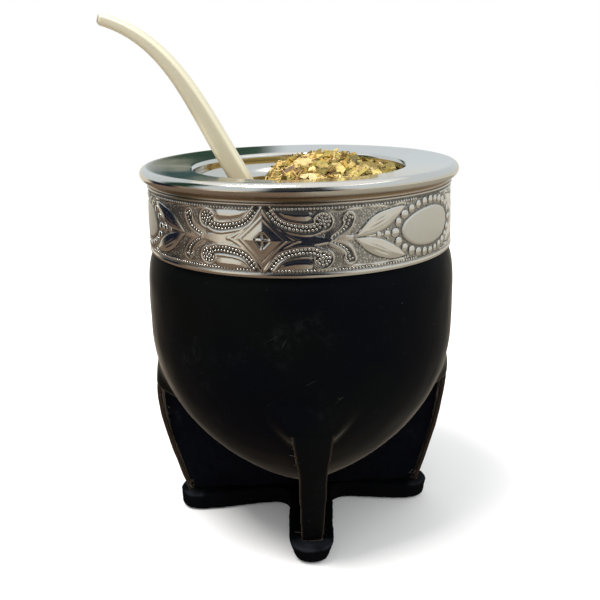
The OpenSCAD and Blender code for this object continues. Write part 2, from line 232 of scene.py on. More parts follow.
def offset_back(line, gap):
    """The line moved by gap to its left, which is into the sheet."""
    d = np.gradient(line, axis=0)
    d /= np.linalg.norm(d, axis=1)[:, None]
    return line + gap * np.stack([-d[:, 1], d[:, 0]], -1)


def arc(at, r, start, stop, n):
    a = np.radians(np.linspace(start, stop, n))
    return np.stack([at[0] + r * np.cos(a), at[1] + r * np.sin(a)], -1)


# ---- Shader writing ----
class Value:
    """A shader socket that takes part in Python arithmetic."""

    def __init__(self, finish, socket):
        self.finish = finish
        self.socket = socket

    def _math(self, operation, *values):
        return self.finish.node("ShaderNodeMath", {"operation": operation}, dict(enumerate(values)))

    def __add__(self, other):
        return self._math("ADD", self, other)

    def __radd__(self, other):
        return self._math("ADD", other, self)

    def __sub__(self, other):
        return self._math("SUBTRACT", self, other)

    def __rsub__(self, other):
        return self._math("SUBTRACT", other, self)

    def __mul__(self, other):
        return self._math("MULTIPLY", self, other)

    def __rmul__(self, other):
        return self._math("MULTIPLY", other, self)

    def __truediv__(self, other):
        return self._math("DIVIDE", self, other)

    def __rtruediv__(self, other):
        return self._math("DIVIDE", other, self)

    def __pow__(self, other):
        return self._math("POWER", self, other)


class Finish:
    """One material. Its methods add nodes and return what comes out of them."""

    def __init__(self, name, roughness=0.5, metallic=0.0, **constants):
        self.material = bpy.data.materials.new(name)
        self.material.use_nodes = True
        self.tree = self.material.node_tree
        self.shader = self.tree.nodes["Principled BSDF"]
        self.shader.inputs["Roughness"].default_value = roughness
        self.shader.inputs["Metallic"].default_value = metallic
        for key, value in constants.items():
            self.shader.inputs[key.replace("_", " ")].default_value = value

    def node(self, kind, settings=None, inputs=None, out=0):
        made = self.tree.nodes.new(kind)
        for key, value in (settings or {}).items():
            if key == "stops":
                self._stops(made.color_ramp, value)
            else:
                setattr(made, key, value)
        for key, value in (inputs or {}).items():
            self._feed(made.inputs[key], value)
        return Value(self, made.outputs[out])

    def _stops(self, ramp, stops):
        while len(ramp.elements) < len(stops):
            ramp.elements.new(1.0)
        for element, (place, colour) in zip(ramp.elements, stops):
            element.position = place
            element.color = (*colour, 1.0)

    def _feed(self, socket, value):
        if isinstance(value, Value):
            self.tree.links.new(value.socket, socket)
        elif isinstance(value, tuple) and len(value) == 3 and len(socket.default_value) == 4:
            socket.default_value = (*value, 1.0)
        else:
            socket.default_value = value

    def place(self):
        return self.node("ShaderNodeTexCoord", out="Object")

    def stored(self, key, out="Fac"):
        return self.node("ShaderNodeAttribute", {"attribute_name": key}, out=out)

    def squeeze(self, vector, by):
        return self.node("ShaderNodeVectorMath", {"operation": "MULTIPLY"}, {0: vector, 1: by})

    def noise(self, vector, size_mm, detail=4.0, rough=0.5, twist=0.0):
        return self.node("ShaderNodeTexNoise", None, {
            "Vector": vector, "Scale": 1 / (size_mm * MM), "Detail": detail,
            "Roughness": rough, "Distortion": twist})

    def cells(self, vector, size_mm, feature="F1"):
        return self.node("ShaderNodeTexVoronoi", {"feature": feature},
                         {"Vector": vector, "Scale": 1 / (size_mm * MM)}, out="Distance")

    def step(self, value, low, high):
        """0 below low, 1 above high, smooth between; low may be the larger one."""
        return self.node("ShaderNodeMapRange", {"interpolation_type": "SMOOTHSTEP"},
                         {"Value": value, "From Min": low, "From Max": high})

    def blend(self, share, a, b, how="MIX"):
        return self.node("ShaderNodeMix", {"data_type": "RGBA", "blend_type": how},
                         {0: share, 6: a, 7: b}, out=2)

    def ramp(self, value, stops):
        return self.node("ShaderNodeValToRGB", {"stops": stops}, {0: value})

    def relief(self, height, depth_mm, strength=1.0):
        normal = self.node("ShaderNodeBump", None, {
            "Height": height, "Distance": depth_mm * MM, "Strength": strength}, out="Normal")
        self.set(Normal=normal)

    def set(self, **values):
        for key, value in values.items():
            self._feed(self.shader.inputs[key.replace("_", " ")], value)


def polished_metal():
    """Nickel silver of the rolled edge and the lip, with fine rubbing marks and a brown neck of tarnish
    and painted reflection of a wooden table.
    """
    f = Finish("polished_nickel_silver", metallic=1.0)
    at = f.place()
    cloud = f.noise(at, 9.0, 3.0)
    rubbed = f.noise(f.squeeze(at, (1.0, 1.0, 6.0)), 1.1, 5.0, 0.65)
    tarnish = f.stored("tarnish")
    clean = f.blend(cloud, (0.74, 0.72, 0.67), (0.67, 0.655, 0.61))
    # The brown at the neck is tarnish together with a painted reflection of a wooden table.
    f.set(Base_Color=f.blend(tarnish, clean, (0.36, 0.26, 0.165)),
          Roughness=0.07 + 0.09 * rubbed + 0.25 * tarnish)
    f.relief(rubbed, 0.012, 0.5)
    return f.material


def chased_metal():
    """Nickel silver of the band: bright raised work, dark patinated ground with painted shade beside
    raised lines and round dome feet, brushed medallions.
    """
    f = Finish("chased_nickel_silver", metallic=1.0)
    at = f.place()
    patina = f.stored("patina")
    brushed = f.stored("brushed")
    cloud = f.noise(at, 5.0, 4.0)
    fine = f.noise(at, 0.45, 3.0, 0.6)
    strokes = f.noise(f.squeeze(at, (1.0, 1.0, 14.0)), 2.2, 4.0, 0.6)
    clean = f.blend(cloud, (0.78, 0.76, 0.72), (0.68, 0.66, 0.61))
    dots = f.stored("stipple") * f.step(f.cells(at, 0.62), 0.18, 0.42)
    # The dark here is patinated ground together with painted shade beside raised lines and round the
    # dome feet.
    patina_and_shade_share = f.step(patina + 0.55 * (fine - 0.5) + 0.30 * dots, 0.15, 0.95)
    patinated_and_shaded = f.blend(patina_and_shade_share, clean, (0.060, 0.054, 0.045))
    f.set(Base_Color=f.blend(brushed * (0.35 + 0.5 * strokes), patinated_and_shaded, (0.60, 0.585, 0.53)),
          Roughness=0.13 + 0.34 * patina_and_shade_share + 0.26 * brushed)
    f.relief(brushed * strokes + 0.35 * fine - 3.0 * dots, 0.03, 0.6)
    return f.material


def straw_metal():
    """Satin nickel silver with fine lengthwise scratches."""
    f = Finish("satin_nickel_silver", metallic=0.65)
    at = f.place()
    cloud = f.noise(at, 7.0, 3.0)
    lines = f.noise(f.squeeze(f.stored("along", "Vector"), (30.0, 30.0, 1.0)), 14.0, 4.0, 0.6)
    f.set(Base_Color=f.blend(cloud, (0.83, 0.77, 0.58), (0.77, 0.71, 0.53)),
          Roughness=0.42 + 0.14 * lines)
    f.relief(lines, 0.02, 0.5)
    return f.material


def smooth_leather():
    """Black skin with a satin face: fine grain, faint creases, small scuffs, brown at cut edges."""
    f = Finish("black_smooth_leather", Specular_IOR_Level=0.03, Sheen_Weight=0.30, Sheen_Roughness=0.20,
               Sheen_Tint=(1.0, 0.86, 0.68, 1.0))
    at = f.place()
    grain = f.cells(at, 0.55)
    cloud = f.noise(at, 14.0, 4.0)
    crease = f.noise(f.squeeze(at, (1.0, 1.0, 0.45)), 3.2, 5.0, 0.6, 0.6)
    wide = f.noise(at, 42.0, 2.0)
    speck = f.step(f.noise(at, 1.3, 2.0), 0.755, 0.785)
    rub = f.step(f.noise(at, 17.0, 3.0, 0.6), 0.56, 0.74)
    rub = rub * f.step(f.noise(at, 1.6, 4.0, 0.7), 0.42, 0.68)
    slanted = f.node("ShaderNodeVectorRotate", {"rotation_type": "EULER_XYZ"},
                     {"Vector": at, "Rotation": (0.0, 0.62, 0.25)})
    lines = f.cells(f.squeeze(slanted, (0.16, 0.16, 1.0)), 7.0, "DISTANCE_TO_EDGE")
    scratch = f.step(lines, 0.0045, 0.001) * f.step(f.noise(at, 11.0, 2.0), 0.62, 0.70)
    edge = f.stored("edge")
    black = f.blend(f.step(wide, 0.42, 0.58), (0.0006, 0.0012, 0.0030), (0.0012, 0.0020, 0.0019))
    dusty = f.blend(cloud * 0.35, black, (0.0040, 0.0034, 0.0030))
    dusty = f.blend(rub * 0.22, dusty, (0.016, 0.016, 0.017))
    scuffed = f.blend(speck * 0.3 + scratch * 0.22, dusty, (0.085, 0.080, 0.068))
    cut = f.blend(f.noise(at, 0.8, 4.0), (0.009, 0.006, 0.004), (0.030, 0.019, 0.012))
    f.set(Base_Color=f.blend(edge, scuffed, cut),
          Roughness=0.36 + 0.14 * cloud + 0.12 * crease + 0.3 * edge)
    f.relief(0.5 * grain + 0.9 * crease, 0.09, 0.55)
    return f.material


def suede():
    """Blue-black rough leather of the leg plates, with a short dusty nap."""
    f = Finish("black_suede", roughness=0.95, Sheen_Weight=0.012, Sheen_Roughness=0.6,
               Specular_IOR_Level=0.015)
    at = f.place()
    nap = f.noise(at, 0.5, 5.0, 0.7)
    patch = f.noise(at, 6.0, 4.0, 0.6)
    dust = f.step(nap * patch, 0.34, 0.46)
    dark = f.blend(patch, (0.0008, 0.0010, 0.0022), (0.0022, 0.0024, 0.0042))
    f.set(Base_Color=f.blend(dust * 0.5, dark, (0.013, 0.013, 0.015)))
    f.relief(nap, 0.25, 0.8)
    return f.material


def sole_leather():
    """Thick black sole leather, paler along the top edges of its lobes."""
    f = Finish("black_sole_leather", Specular_IOR_Level=0.02)
    at = f.place()
    fine = f.noise(at, 0.7, 5.0, 0.65)
    patch = f.noise(at, 5.0, 4.0)
    wear = f.step(f.stored("wear") + 0.7 * (patch - 0.5), 0.25, 0.95)
    dark = f.blend(fine, (0.0008, 0.0010, 0.0016), (0.0026, 0.0028, 0.0036))
    f.set(Base_Color=f.blend(wear * (0.2 + 0.5 * fine), dark, (0.026, 0.030, 0.036)),
          Roughness=0.62 + 0.25 * fine)
    f.relief(fine, 0.12, 0.6)
    return f.material


def fibre():
    """Pale frayed threads of leather."""
    f = Finish("frayed_fibre", roughness=0.9)
    f.set(Base_Color=f.blend(f.noise(f.place(), 3.0), (0.05, 0.038, 0.026), (0.20, 0.18, 0.15)))
    return f.material


def dried_gourd():
    """The calabash inside: brown, blotched and fibrous."""
    f = Finish("dried_calabash", roughness=0.8)
    at = f.place()
    blotch = f.noise(at, 8.0, 5.0, 0.6)
    streak = f.noise(f.squeeze(at, (1.0, 1.0, 0.2)), 1.5, 4.0)
    f.set(Base_Color=f.blend(blotch, (0.16, 0.085, 0.035), (0.33, 0.20, 0.09)),
          Roughness=0.7 + 0.2 * streak)
    f.relief(streak, 0.2, 0.5)
    return f.material


def herb(name, depth_mm):
    """Dry herb: each piece has its own stored tint, with veins and mottling over it."""
    f = Finish(name, roughness=0.82, Specular_IOR_Level=0.3)
    at = f.place()
    mottle = f.noise(at, 0.9, 4.0, 0.6)
    vein = f.noise(f.squeeze(at, (1.0, 2.4, 1.0)), 0.35, 3.0)
    tint = f.stored("tint", "Color")
    shaded = f.blend(0.55 * f.step(mottle, 0.62, 0.35), tint, (0.36, 0.29, 0.17), "MULTIPLY")
    f.set(Base_Color=f.blend(0.14 * vein, shaded, (0.80, 0.66, 0.28)),
          Roughness=0.68 + 0.25 * mottle)
    f.relief(vein, depth_mm, 0.7)
    return f.material


# ---- Leather belly, strips and legs ----
def belly_r(z):
    """Radius of the leather's outside at a height."""
    low = BELLY_R * (1 - np.clip((BELLY_TURN - z) / (BELLY_TURN - SOLE_T), 0, 1) ** 2.2) ** (1 / 1.04)
    drawn_in = BELLY_R - (BAND_R - SHEET_T - 0.1)
    high = BELLY_R - drawn_in * np.clip((z - BELLY_TURN) / (BAND_FOOT - BELLY_TURN), 0, 1) ** 5.5
    tuck = 0.028 * np.clip(z - BAND_FOOT, 0, None)
    return np.where(z < BELLY_TURN, low, high - tuck)


def ridge_r(z, side):
    """Radius of a leg's outer curve at a height."""
    t = np.clip((STRIP_TOP - z) / (STRIP_TOP - SOLE_T), 0, 1)
    u = 1 - t
    start = belly_r(np.array(STRIP_TOP))
    return (u ** 3 * start + 3 * u * u * t * (BELLY_R + 2.5) + 3 * u * t * t * (BELLY_R - 3)
            + t ** 3 * LEG_FOOT_R[side] + LEG_OUT[side] * smooth(2.5 * t))


def strip_flat(z):
    """Width of a leg's strip of skin at a height, without its spread on the belly."""
    return STRIP_FOOT_W + STRIP_GROWTH * (z - SOLE_T)


def strip_half(z):
    """Half the width of a leg's strip of skin, with its spread on the belly."""
    return 0.5 * (strip_flat(z) + 11.5 * np.exp((np.minimum(z, 48.0) - STRIP_TOP) / 7.0))


def belly_columns():
    """Angles round the belly, closer together near the legs."""
    fine = np.linspace(-16, 16, 46)
    columns = []
    for turn in (0, 90, 180, 270):
        columns.extend(turn + LEG_TURN + fine)
        columns.extend(np.linspace(turn + LEG_TURN + 17, turn + LEG_TURN + 73, 40))
    return np.array(columns)


def leather_belly():
    """The belly's skin, drawn out towards each strip, with its inside face."""
    angles = belly_columns()
    foot = SOLE_T + (BELLY_TURN - SOLE_T) * np.linspace(0.004, 1, 105) ** 1.35
    z = np.concatenate([foot, np.linspace(BELLY_TURN, BAND_FOOT, 40)[1:], [COVER_TOP]])
    outer = lathe_points(np.stack([belly_r(z), z], -1), angles)
    radius = np.repeat(belly_r(z)[:, None], len(angles), 1)
    height = np.repeat(z[:, None], len(angles), 1)
    for side in SIDES:
        away = (angles - LEG_ANGLE[side] + 180) % 360 - 180
        gap = np.abs(np.radians(away))[None] * radius
        lift = np.clip(ridge_r(height, side) - belly_r(height), 0, None)
        wide = 0.5 * (strip_flat(height) + 16 * smooth((height - 34) / 18))
        near = 1 - smooth((gap - 0.55 * wide) / (0.45 * wide + 3.0))
        hold = smooth((height - 35.0) / 9.0) * (height < STRIP_TOP)
        crown = 0.36 * bump(gap, 11.0) * smooth((height - 40) / 9) * (1 - smooth((height - 50) / 18))
        radius = radius + lift * near * hold + crown
    place = np.concatenate([outer[..., :2], height[..., None]], -1)
    shown = smooth((BAND_FOOT - height) / 3)
    radius = radius + shown * (0.10 * ripple(place, 26, 3) + 0.035 * ripple(place, 6, 4)) \
        - (1 - shown) * 0.02
    outer[..., :2] = radius[..., None] * around(angles)[None]
    back_z = np.concatenate([z[:-1:8], z[-1:]])[::-1]
    back_r = np.clip(belly_r(back_z) - SKIN_T, 0.2, None)
    inner = lathe_points(np.stack([back_r, back_z + SKIN_T * (back_z < 12)], -1), angles)
    points = np.concatenate([outer, inner]).reshape(-1, 3)
    rings = len(z) + len(back_z)
    make_piece("leather_belly", points, tube_faces(rings, len(angles), ring_loop=True), LEATHER,
               ["leather_cover"], {"edge": np.zeros(len(points))})


def leg_point(side, out, across, z):
    """A point out from the axis and across in a leg's own frame."""
    a = math.radians(LEG_ANGLE[side])
    return np.stack([out * math.sin(a) + across * math.cos(a),
                     -out * math.cos(a) + across * math.sin(a), z * np.ones_like(out)], -1)


def skin_strip(side, seed):
    """The strip of skin down a leg's outer edge: crowned face, rounded cut edges."""
    z = np.linspace(SOLE_T, STRIP_TOP - 3.0, 90)
    through_skin, across = rounded_square(36, 4.5)
    half = strip_half(z)[:, None]
    wave = 0.12 * ripple(np.stack([z, 0 * z], -1), 9, seed)[:, None]
    x = across[None] * (half + wave)
    crown = 0.45 * (1 - across[None] ** 2)
    dive = 1.9 * smooth((z - 40.5) / 8)[:, None] ** 1.3
    out = ridge_r(z, side)[:, None] - SKIN_T / 2 + through_skin[None] * SKIN_T / 2
    out = np.minimum(out + crown - 0.25, ridge_r(z, side)[:, None] + 0.2) - dive
    points = leg_point(side, out, x, z[:, None])
    points = points + 0.03 * ripple(points, 3.0, seed + 20)[..., None]
    flat = points.reshape(-1, 3)
    faces = capped_tube(len(z), len(across))
    rim = np.abs(across) > 0.86
    edge = np.where(rim, smooth((np.abs(across) - 0.86) / 0.1), 0)[None] * np.ones((len(z), 1))
    edge = edge * (1 - smooth((z - 44) / 4))[:, None]
    make_piece(f"skin_strip_{side}", flat, faces, LEATHER, [f"strip_{side}"],
               {"edge": edge.reshape(-1)})


def remeshed(node, voxel):
    """Points, normals and faces of a frame node's closed mesh, rebuilt evenly and softened."""
    source = bpy.data.objects.new("remesh_source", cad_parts[node].data.copy())
    bpy.context.scene.collection.objects.link(source)
    rebuild = source.modifiers.new("even", "REMESH")
    rebuild.mode = "VOXEL"
    rebuild.voxel_size = voxel * MM
    soften = source.modifiers.new("soften", "SMOOTH")
    soften.iterations = 3
    found = source.evaluated_get(bpy.context.evaluated_depsgraph_get()).to_mesh()
    points = np.array([v.co for v in found.vertices]) / MM
    normals = np.array([v.normal for v in found.vertices])
    faces = [list(p.vertices) for p in found.polygons]
    bpy.data.objects.remove(source)
    return points, normals, faces


def suede_leg(side, seed):
    """A leg's suede plate with a lumpy nap."""
    node = f"leg_{side}"
    points, normals, faces = remeshed(node, 0.55)
    rough = 0.11 * ripple(points, 2.2, seed) + 0.16 * ripple(points, 9.0, seed + 5) - 0.12
    points = points + normals * rough[:, None]
    make_piece(f"suede_leg_{side}", points, faces, SUEDE, [node], {})


def cross_sole():
    """The cross of sole leather, paler along the top edges of its outer lobes."""
    points, normals, faces = remeshed("sole", 0.6)
    reach = np.hypot(points[:, 0], points[:, 1])
    rough = 0.05 * ripple(points, 1.6, 51) + 0.10 * ripple(points, 7.0, 52) - 0.05
    rough = rough * smooth(points[:, 2] / 0.8)
    points = points + normals * rough[:, None]
    points[:, 2] = np.clip(points[:, 2], 0, None)
    top = smooth((points[:, 2] - (SOLE_T - 1.6)) / 1.2)
    # Paler along the lobes' top edges, towards their outer ends.
    wear = top * smooth((reach - 30) / 6) * (0.75 + 0.25 * ripple(points, 4.0, 53))
    make_piece("cross_sole", points, faces, SOLE, ["sole"], {"wear": wear})


def frayed_fibres():
    """Loose threads where the skin was cut, along the strips and at the legs' feet."""
    rng = np.random.default_rng(71)
    points, faces = [], []
    for side in SIDES:
        for _ in range(46):
            hand = rng.choice([-1, 1])
            z = rng.choice([rng.uniform(30, 44), rng.uniform(6.2, 9)], p=[0.75, 0.25])
            root = np.array([ridge_r(np.array(z), side) - rng.uniform(0.6, 2.6),
                             hand * (strip_half(z) - rng.uniform(0.2, 0.9)), z])
            way = np.array([rng.normal(-0.4, 0.6), hand * abs(rng.normal(0.7, 0.4)), rng.normal(0, 0.7)])
            way *= rng.uniform(0.7, 2.0) / np.linalg.norm(way)
            bend = rng.normal(0, 0.35, 3)
            thick = rng.uniform(0.05, 0.09)
            first = len(points)
            for step in range(4):
                f = step / 3
                centre = root + way * f + bend * f * f
                for k in range(3):
                    a = 2 * math.pi * k / 3
                    r = thick * (1 - 0.6 * f)
                    spot = centre + np.array([r * math.cos(a), 0, r * math.sin(a)])
                    points.append(leg_point(side, spot[0], spot[1], spot[2]))
            faces.extend(capped_tube(4, 3, first))
    make_piece("frayed_fibres", np.array(points), faces, FIBRE, [], {})


# ---- Collar ----
def sleeve_r(z):
    """Radius of the sleeve inside the mouth, which draws in a little below its rounded edge."""
    return MOUTH_R - SLEEVE_LEAN * smooth((MOUTH_Z - 2.6 - z) / 5.0)


def collar_rim():
    """Fine bead, hollow neck, rolled edge, lip and sleeve, turned from one sheet."""
    bead = arc((BAND_TOP_R - 0.1, BAND_TOP + 0.3), 0.32, -80, 80, 9)
    neck = through([(42.55, BAND_TOP + 0.72), (42.45, BAND_TOP + 1.15), (42.7, BAND_TOP + 1.75)], 5)
    roll = arc(ROLL_AT, ROLL_R, -72, 90, 30)
    edge = arc((MOUTH_R + 1.2, MOUTH_Z - 1.2), 1.2, 95, 180, 14)
    lip = np.stack([np.linspace(ROLL_AT[0], MOUTH_R + 1.1, 12)[1:-1],
                    np.linspace(CUP_TOP, MOUTH_Z, 12)[1:-1]], -1)
    down = np.linspace(MOUTH_Z - 1.2, SLEEVE_END, 26)[1:]
    sleeve = np.stack([sleeve_r(down), down], -1)
    line = np.concatenate([[(BAND_TOP_R - 0.4, BAND_TOP - 0.05)], bead, neck, roll, lip, edge, sleeve])
    back = offset_back(line, SHEET_T)[::-1]
    profile = np.concatenate([line, back[2:-2]])
    angles = np.linspace(0, 360, 361)[:-1]
    points = lathe_points(profile, angles)
    uneven = 0.035 * ripple(points, 30, 8) + 0.012 * ripple(points, 8, 9)
    points[..., 2] += uneven * smooth((points[..., 2] - 104) / 2)
    # The neck's brown share is tarnish together with a painted reflection of a wooden table.
    neck_share = bump(profile[:, 1] - (BAND_TOP + 1.5), 1.7) * (profile[:, 0] > 41)
    tarnish = np.repeat(neck_share[:, None], len(angles), 1)
    faces = tube_faces(len(profile), len(angles), ring_loop=True)
    make_piece("collar_rim", points.reshape(-1, 3), faces, POLISHED, ["collar"],
               {"tarnish": tarnish.reshape(-1)})


# The ornament repeats in half sectors between a diamond, at s = 0, and a medallion, at s = HALF.
# In a half sector s runs along the band and t up from its middle, both in millimetres.
BAND_MID = BAND_FOOT + 9.5
HALF = 48.3
DIAMONDS = (-12.5, 109.4, 225.6)
MEDALLIONS = (51.3, 167.5, 283.7)
ASTROID = through([(0, 8), (2.3, 4.5), (4.9, 2.3), (7.6, 0.5), (9.2, 0)])
HOOK_HEAD = (14.9, 4.6)
HOOK = through([(1.3, 7.7), (2.6, 6.0), (3.9, 4.6), (5.8, 3.6),
                (8.2, 3.0), (11, 2.7), (13.4, 3.1), HOOK_HEAD])
COMMA = through([(17.0, 0.6), (19.3, 1.7), (21.0, 3.2), (21.6, 5.2)])
COMMA_HEAD = (21.4, 5.0)
CRESCENT = np.array([(3.4, 7.3), (12.2, 6.9), (12.5, 5.4), (11.2, 4.6), (8.0, 4.6), (5.2, 5.4)])
LEAF_TIP = (38.0, 6.4)
LEAF_ROOT = (22.6, 0.1)
LEAF_UNDER = through([LEAF_ROOT, (27.0, 0.35), (30.0, 0.95), (32.7, 2.1), (35.5, 3.9), LEAF_TIP], 4)
LEAF_OVER = through([LEAF_TIP, (35.0, 6.5), (32.0, 6.1), (29.0, 5.1), (26.0, 3.4), LEAF_ROOT], 4)
LEAF = np.concatenate([LEAF_UNDER, LEAF_OVER])
VEINS = (through([(25.8, 1.5), (29.5, 2.9), (34.2, 5.2)]),
         through([(27.6, 2.9), (30.4, 4.2), (33.0, 5.2)]))
# The sunk field between the two leaves, and the stippled one round hooks and commas
FAN = np.array([(23.6, 0), (48.4, 0), (48.4, 8.2), (38.6, 8.2), (34.4, 3.6), (29.9, 1.2)])
GROUND = np.array([(10.5, 2.0), (13.0, 0.9), (16.0, 0.35), (27.0, 0.35), (38.4, 6.2), (39.0, 7.1),
                   (10.5, 7.1), (12.8, 6.0)])
# Half length and half height of the diamond, its pit, the medallion and what rings it
DIAMOND = (5.9, 5.6)
DIAMOND_PIT = (2.7, 2.8)
MEDALLION = (11.5, 4.9)
BEAD_RING = (13.85, 6.6)
CHANNEL = (15.3, 8.0)
LEADING_BEADS = ((29.4, 0.9), (31.9, 1.1))
DOT_R = 0.40
SMALL_DOT_R = 0.36
# Share of the relief's drawn heights that the sheet is chased to
RELIEF = 0.55


def half_sectors():
    """Start angle, signed degrees per millimetre for each of the six half sectors."""
    found = []
    for centre in DIAMONDS:
        for hand in (-1, 1):
            spans = [hand * (m - centre) % 360 for m in MEDALLIONS]
            found.append((centre, hand * min(spans) / HALF))
    return found


def fold(angles):
    """Where each angle lies in its half sector, as s."""
    s = np.full(np.shape(angles), 1e9)
    for centre, rate in half_sectors():
        away = (angles - centre) * np.sign(rate) % 360
        s = np.minimum(s, np.where(away <= abs(rate) * HALF + 0.01, away / abs(rate), 1e9))
    return s


def rhombus(s, t, half):
    """Signed distance to a rhombus with these half diagonals, positive outside."""
    return (s / half[0] + t / half[1] - 1) * half[0] * half[1] / math.hypot(*half)


def oval(s, t, half):
    """1 on the edge of an ellipse about the medallion's middle, less inside."""
    return np.hypot((HALF - s) / half[0], t / half[1])


class Chasing:
    """Chased work over a grid of (s, t), t from 0 up: its height, its dark layer of patinated ground
    with painted shade, and stippling.

    Its steps are taken in the order of chased(), because later strokes cut into earlier ones.
    """

    def __init__(self, s, t):
        self.s = s
        self.t = t
        self.height = np.zeros(np.shape(s))
        self.patina = np.zeros(np.shape(s))
        self.stipple = np.zeros(np.shape(s))
        self.brushed = np.zeros(np.shape(s))
        self.hook_gap, hook_share = to_line(s, t, HOOK)
        self.hook_half = mix(0.75, 1.05, smooth(hook_share * 1.4))
        self.hook_head = np.hypot(s - HOOK_HEAD[0], t - HOOK_HEAD[1])
        self.comma_gap, self.comma_share = to_line(s, t, COMMA)
        self.comma_head = np.hypot(s - COMMA_HEAD[0], t - COMMA_HEAD[1])

    def darken(self, share):
        self.patina = np.maximum(self.patina, share)

    def raise_line(self, gap, width, by):
        """A bright raised line with a dark shadow along both sides."""
        self.height = self.height + by * bump(gap, width)
        # Painted shadow: the dark strip on either side of the line.
        self.darken(0.62 * bump(gap - 1.25 * width, 0.6 * width))
        self.patina = self.patina * (1 - 0.9 * bump(gap, 0.8 * width))

    def sink(self, inside, by, dark, edge=0.35):
        """A sunk field with a dark ground."""
        share = smooth(inside / edge)
        self.height = self.height * (1 - share) - by * share
        self.darken(dark * share)

    def sunk_fields(self):
        """The dotted edge row, the stippled ground, the hook, the comma and the fan of beads."""
        edge_row = 7.0 + 0.25 * np.sin(self.s * 0.9)
        self.sink(self.t - edge_row, 0.14, 0.75)
        ground = in_outline(self.s, self.t, GROUND)
        self.sink(ground, 0.10, 0.30, 0.5)
        self.sink(np.maximum(self.hook_half - self.hook_gap, 2.0 - self.hook_head), 0.16, 0.85)
        comma_half = mix(0.45, 1.2, self.comma_share)
        self.sink(np.maximum(comma_half - self.comma_gap, 1.35 - self.comma_head), 0.16, 0.8)
        self.sink(np.minimum(in_outline(self.s, self.t, FAN), 1.0), 0.15, 0.6)
        off_hook = smooth((self.hook_gap - self.hook_half - 0.5) / 0.3)
        off_head = smooth((self.hook_head - 2.5) / 0.3)
        self.stipple = smooth(ground / 0.5) * off_hook * off_head
        self.stipple = self.stipple * smooth((self.comma_gap - 1.5) / 0.3)

    def raised_lines(self):
        """The lines round hook and comma, the four-pointed star's edge and the crescent."""
        beside = np.abs(self.hook_gap - self.hook_half - 0.22) + 9 * (self.hook_head < 2.0)
        round_head = np.abs(self.hook_head - 2.25) + 9 * (self.hook_gap < self.hook_half)
        self.raise_line(np.minimum(beside, round_head), 0.32, 0.20)
        comma_half = mix(0.55, 1.35, self.comma_share)
        beside = np.abs(self.comma_gap - comma_half) + 9 * (self.comma_head < 1.3)
        round_head = np.abs(self.comma_head - 1.55) + 9 * (self.comma_gap < 1.0)
        self.raise_line(np.minimum(beside, round_head), 0.28, 0.17)
        self.raise_line(to_line(self.s, self.t, ASTROID)[0], 0.36, 0.22)
        crescent = in_outline(self.s, self.t, CRESCENT)
        self.height = self.height + 0.30 * smooth((crescent + 0.2) / 1.4)
        self.darken(0.7 * bump(crescent + 0.15, 0.3))

    def leaf(self):
        """The smooth swelling leaf and its two cut veins."""
        inside = in_outline(self.s, self.t, LEAF)
        share = smooth((inside + 0.05) / 0.3)
        self.height = mix(self.height, 0.10 + 0.22 * smooth(inside / 2.4), share)
        self.patina = self.patina * (1 - share)
        self.darken(0.75 * bump(inside + 0.1, 0.25))
        for vein in VEINS:
            gap, passed = to_line(self.s, self.t, vein)
            cut = bump(gap, 0.22) * np.sin(math.pi * np.clip(passed, 0.03, 0.97))
            self.height = self.height - 0.14 * cut
            self.darken(0.7 * cut)
        self.stipple = self.stipple * (1 - share)

    def diamond(self):
        """The low pyramid between its lines, with four pits round a cross."""
        pit_edge, edge = rhombus(self.s, self.t, DIAMOND_PIT), rhombus(self.s, self.t, DIAMOND)
        share = smooth((1.2 - edge) / 0.5)
        self.height = self.height * (1 - share)
        self.patina = self.patina * (1 - share)
        self.stipple = self.stipple * (1 - share)
        self.height = self.height + share * (0.15 + 0.95 * np.clip(-edge / 3.6, 0, 1))
        cross = np.maximum(bump(self.s, 0.42), bump(self.t, 0.42))
        pit = smooth((-pit_edge - 0.1) / 0.45) * (1 - cross)
        self.height = self.height - 0.75 * pit
        self.darken(0.85 * pit)
        self.raise_line(np.abs(pit_edge + 0.1), 0.30, 0.10)
        self.raise_line(np.abs(edge), 0.40, 0.22)

    def medallion(self):
        """The brushed oval plate in its sunk channel."""
        channel = smooth((1 - oval(self.s, self.t, CHANNEL)) * 9)
        self.height = mix(self.height, -0.18, channel)
        self.patina = mix(self.patina, 0.66, channel)
        face = oval(self.s, self.t, MEDALLION)
        plate = smooth((1.02 - face) * 14)
        self.height = mix(self.height, 0.16 + 0.22 * (1 - np.clip(face, 0, 1) ** 2), plate)
        self.patina = mix(self.patina, 0.0, plate)
        self.darken(0.85 * bump((face - 1.03) * 6, 0.35))
        self.brushed = plate


def chased(s, t):
    """All the chased work at (s, t)."""
    work = Chasing(s, t)
    work.sunk_fields()
    work.raised_lines()
    work.leaf()
    work.diamond()
    work.medallion()
    return work


